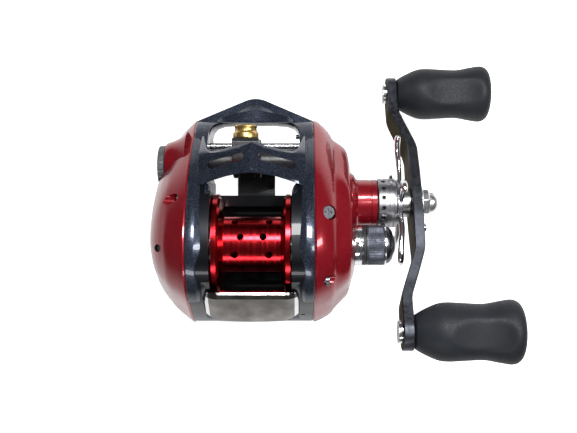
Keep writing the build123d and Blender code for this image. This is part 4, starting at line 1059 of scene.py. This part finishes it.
def worm_radius(x, a):
    """The worm's radius at x and at angle a round it, less where one of two grooves runs."""
    share = 0.0
    if abs(x) <= GROOVE_END:
        for way in (-1, 1):
            phase = (a + way * 2 * math.pi * x / WORM_LEAD) % (2 * math.pi)
            share = max(share, min(1.0, (GROOVE_HALF - abs(phase - math.pi)) / GROOVE_WALL))
    return WORM_RADIUS - GROOVE_DEPTH * share


def worm():
    """The shaft with its two crossing grooves, and its ends."""
    points, columns, rows = [], 64, 321
    for i in range(rows):
        x = WORM_HALF * (2 * i / (rows - 1) - 1)
        for j in range(columns):
            a = 2 * math.pi * j / columns
            points.append((x, *polar(WORM_AXIS, worm_radius(x, a), a)))
    shaft = build("worm_grooved", points, tube_faces(rows, columns), STEEL, "worm", 30)
    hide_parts("worm_shaft")
    for name, x0, x1 in (("worm_end_left", -15.5, -13.5), ("worm_end_right", 13.5, 15.6)):
        line = [(x0, 1.4), (x0 + 0.2, 1.6), (x1 - 0.2, 1.6), (x1, 1.4)]
        turned(name, line, WORM_AXIS, STEEL, "worm", 32)
    line = [(15.4, 1.5), (17.7, 1.5), (17.9, 1.3)]
    turned("worm_drive_end", line, WORM_AXIS, STEEL, "worm", 32)


def yoke_coils():
    """The two coil springs under the post clips, copied from the solid onto a mesh of their own; this
    script does not shorten them as the yoke lifts.
    """
    source = frame["nodes"]["yoke_springs"]
    mesh = source.data.copy()
    mesh.transform(source.matrix_world)
    mesh.materials.clear()
    coils = place("yoke_coils", mesh, STEEL, "frame_body")
    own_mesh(coils)
    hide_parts("yoke_springs")


def soften_cad_edges():
    """Small rounds on the solids that show as they are."""
    for name in ("reel_foot", "brake_dial", "plate_screws", "worm_shield"):
        bevel(frame["nodes"][name], 0.12, 2, 40)


line_guide()
brass_ring()
worm()
yoke_coils()
soften_cad_edges()


# ---- camera, floor and light ---------------------------------------------------------------------
def area_light(name, place_mm, aim_mm, size_mm, power):
    """A soft rectangular lamp, in millimetres and watts."""
    data = bpy.data.lights.new(name, "AREA")
    data.shape = "RECTANGLE"
    data.size, data.size_y = size_mm[0] * MM, size_mm[1] * MM
    data.energy = power
    obj = bpy.data.objects.new(name, data)
    bpy.context.scene.collection.objects.link(obj)
    obj.location = Vector(place_mm) * MM
    aim = (Vector(aim_mm) - Vector(place_mm)).normalized()
    obj.rotation_mode = "QUATERNION"
    obj.rotation_quaternion = aim.to_track_quat("-Z", "Y")


def to_camera(tree, otherwise, seen):
    """Gives the value seen to rays from the camera, and the value otherwise to all others."""
    rays = tree.nodes.new("ShaderNodeLightPath")
    return ramp(tree, rays.outputs["Is Camera Ray"], 0.0, 1.0, otherwise, seen)


def floor():
    """A pale floor below the swing of the knobs, brighter to the camera than to the reel."""
    half, z = 900 * MM, FLOOR_Z * MM
    corners = [(-half, -half, z), (half, -half, z), (half, half, z), (-half, half, z)]
    mesh = bpy.data.meshes.new("floor")
    mesh.from_pydata(corners, [], [(0, 1, 2, 3)])
    obj = bpy.data.objects.new("floor", mesh)
    bpy.context.scene.collection.objects.link(obj)
    mat, tree, shader = node_tree("pale_floor")
    grain = noise(tree, object_coords(tree), 40)
    colour = mixed_colour(tree, grain, (0.90, 0.90, 0.90), (0.94, 0.94, 0.94))
    tree.links.new(colour, shader.inputs["Base Color"])
    set_inputs(shader, Roughness=0.9, Emission_Color=(1, 1, 1, 1))
    tree.links.new(to_camera(tree, 0.15, 0.75), shader.inputs["Emission Strength"])
    mesh.materials.append(mat)


def backdrop():
    """A pale sky that only the camera sees at full strength."""
    world = bpy.data.worlds.new("studio")
    bpy.context.scene.world = world
    world.use_nodes = True
    sky = world.node_tree.nodes["Background"]
    sky.inputs["Color"].default_value = (0.95, 0.97, 1.0, 1)
    world.node_tree.links.new(to_camera(world.node_tree, 0.10, 0.95), sky.inputs["Strength"])


def lamps():
    """Key from above and in front, a long fill on the handle side, a rim light behind."""
    area_light("key", (20, 200, 380), (0, 8, 20), (120, 90), 1.35)
    area_light("fill", (185, 60, 330), (10, 0, 20), (60, 260), 1.0)
    area_light("rim", (-40, -300, 260), (0, 0, 25), (200, 60), 0.35)


def camera():
    """Almost straight above, a little to the handle's side."""
    data = bpy.data.cameras.new("camera")
    data.sensor_width = 36
    data.lens = 53.7
    data.shift_x = -0.0147
    obj = bpy.data.objects.new("camera", data)
    bpy.context.scene.collection.objects.link(obj)
    obj.location = Vector((13.1, 8.5, 280.7)) * MM
    bpy.context.scene.camera = obj


floor()
backdrop()
lamps()
camera()
bpy.context.scene.view_settings.view_transform = "Standard"
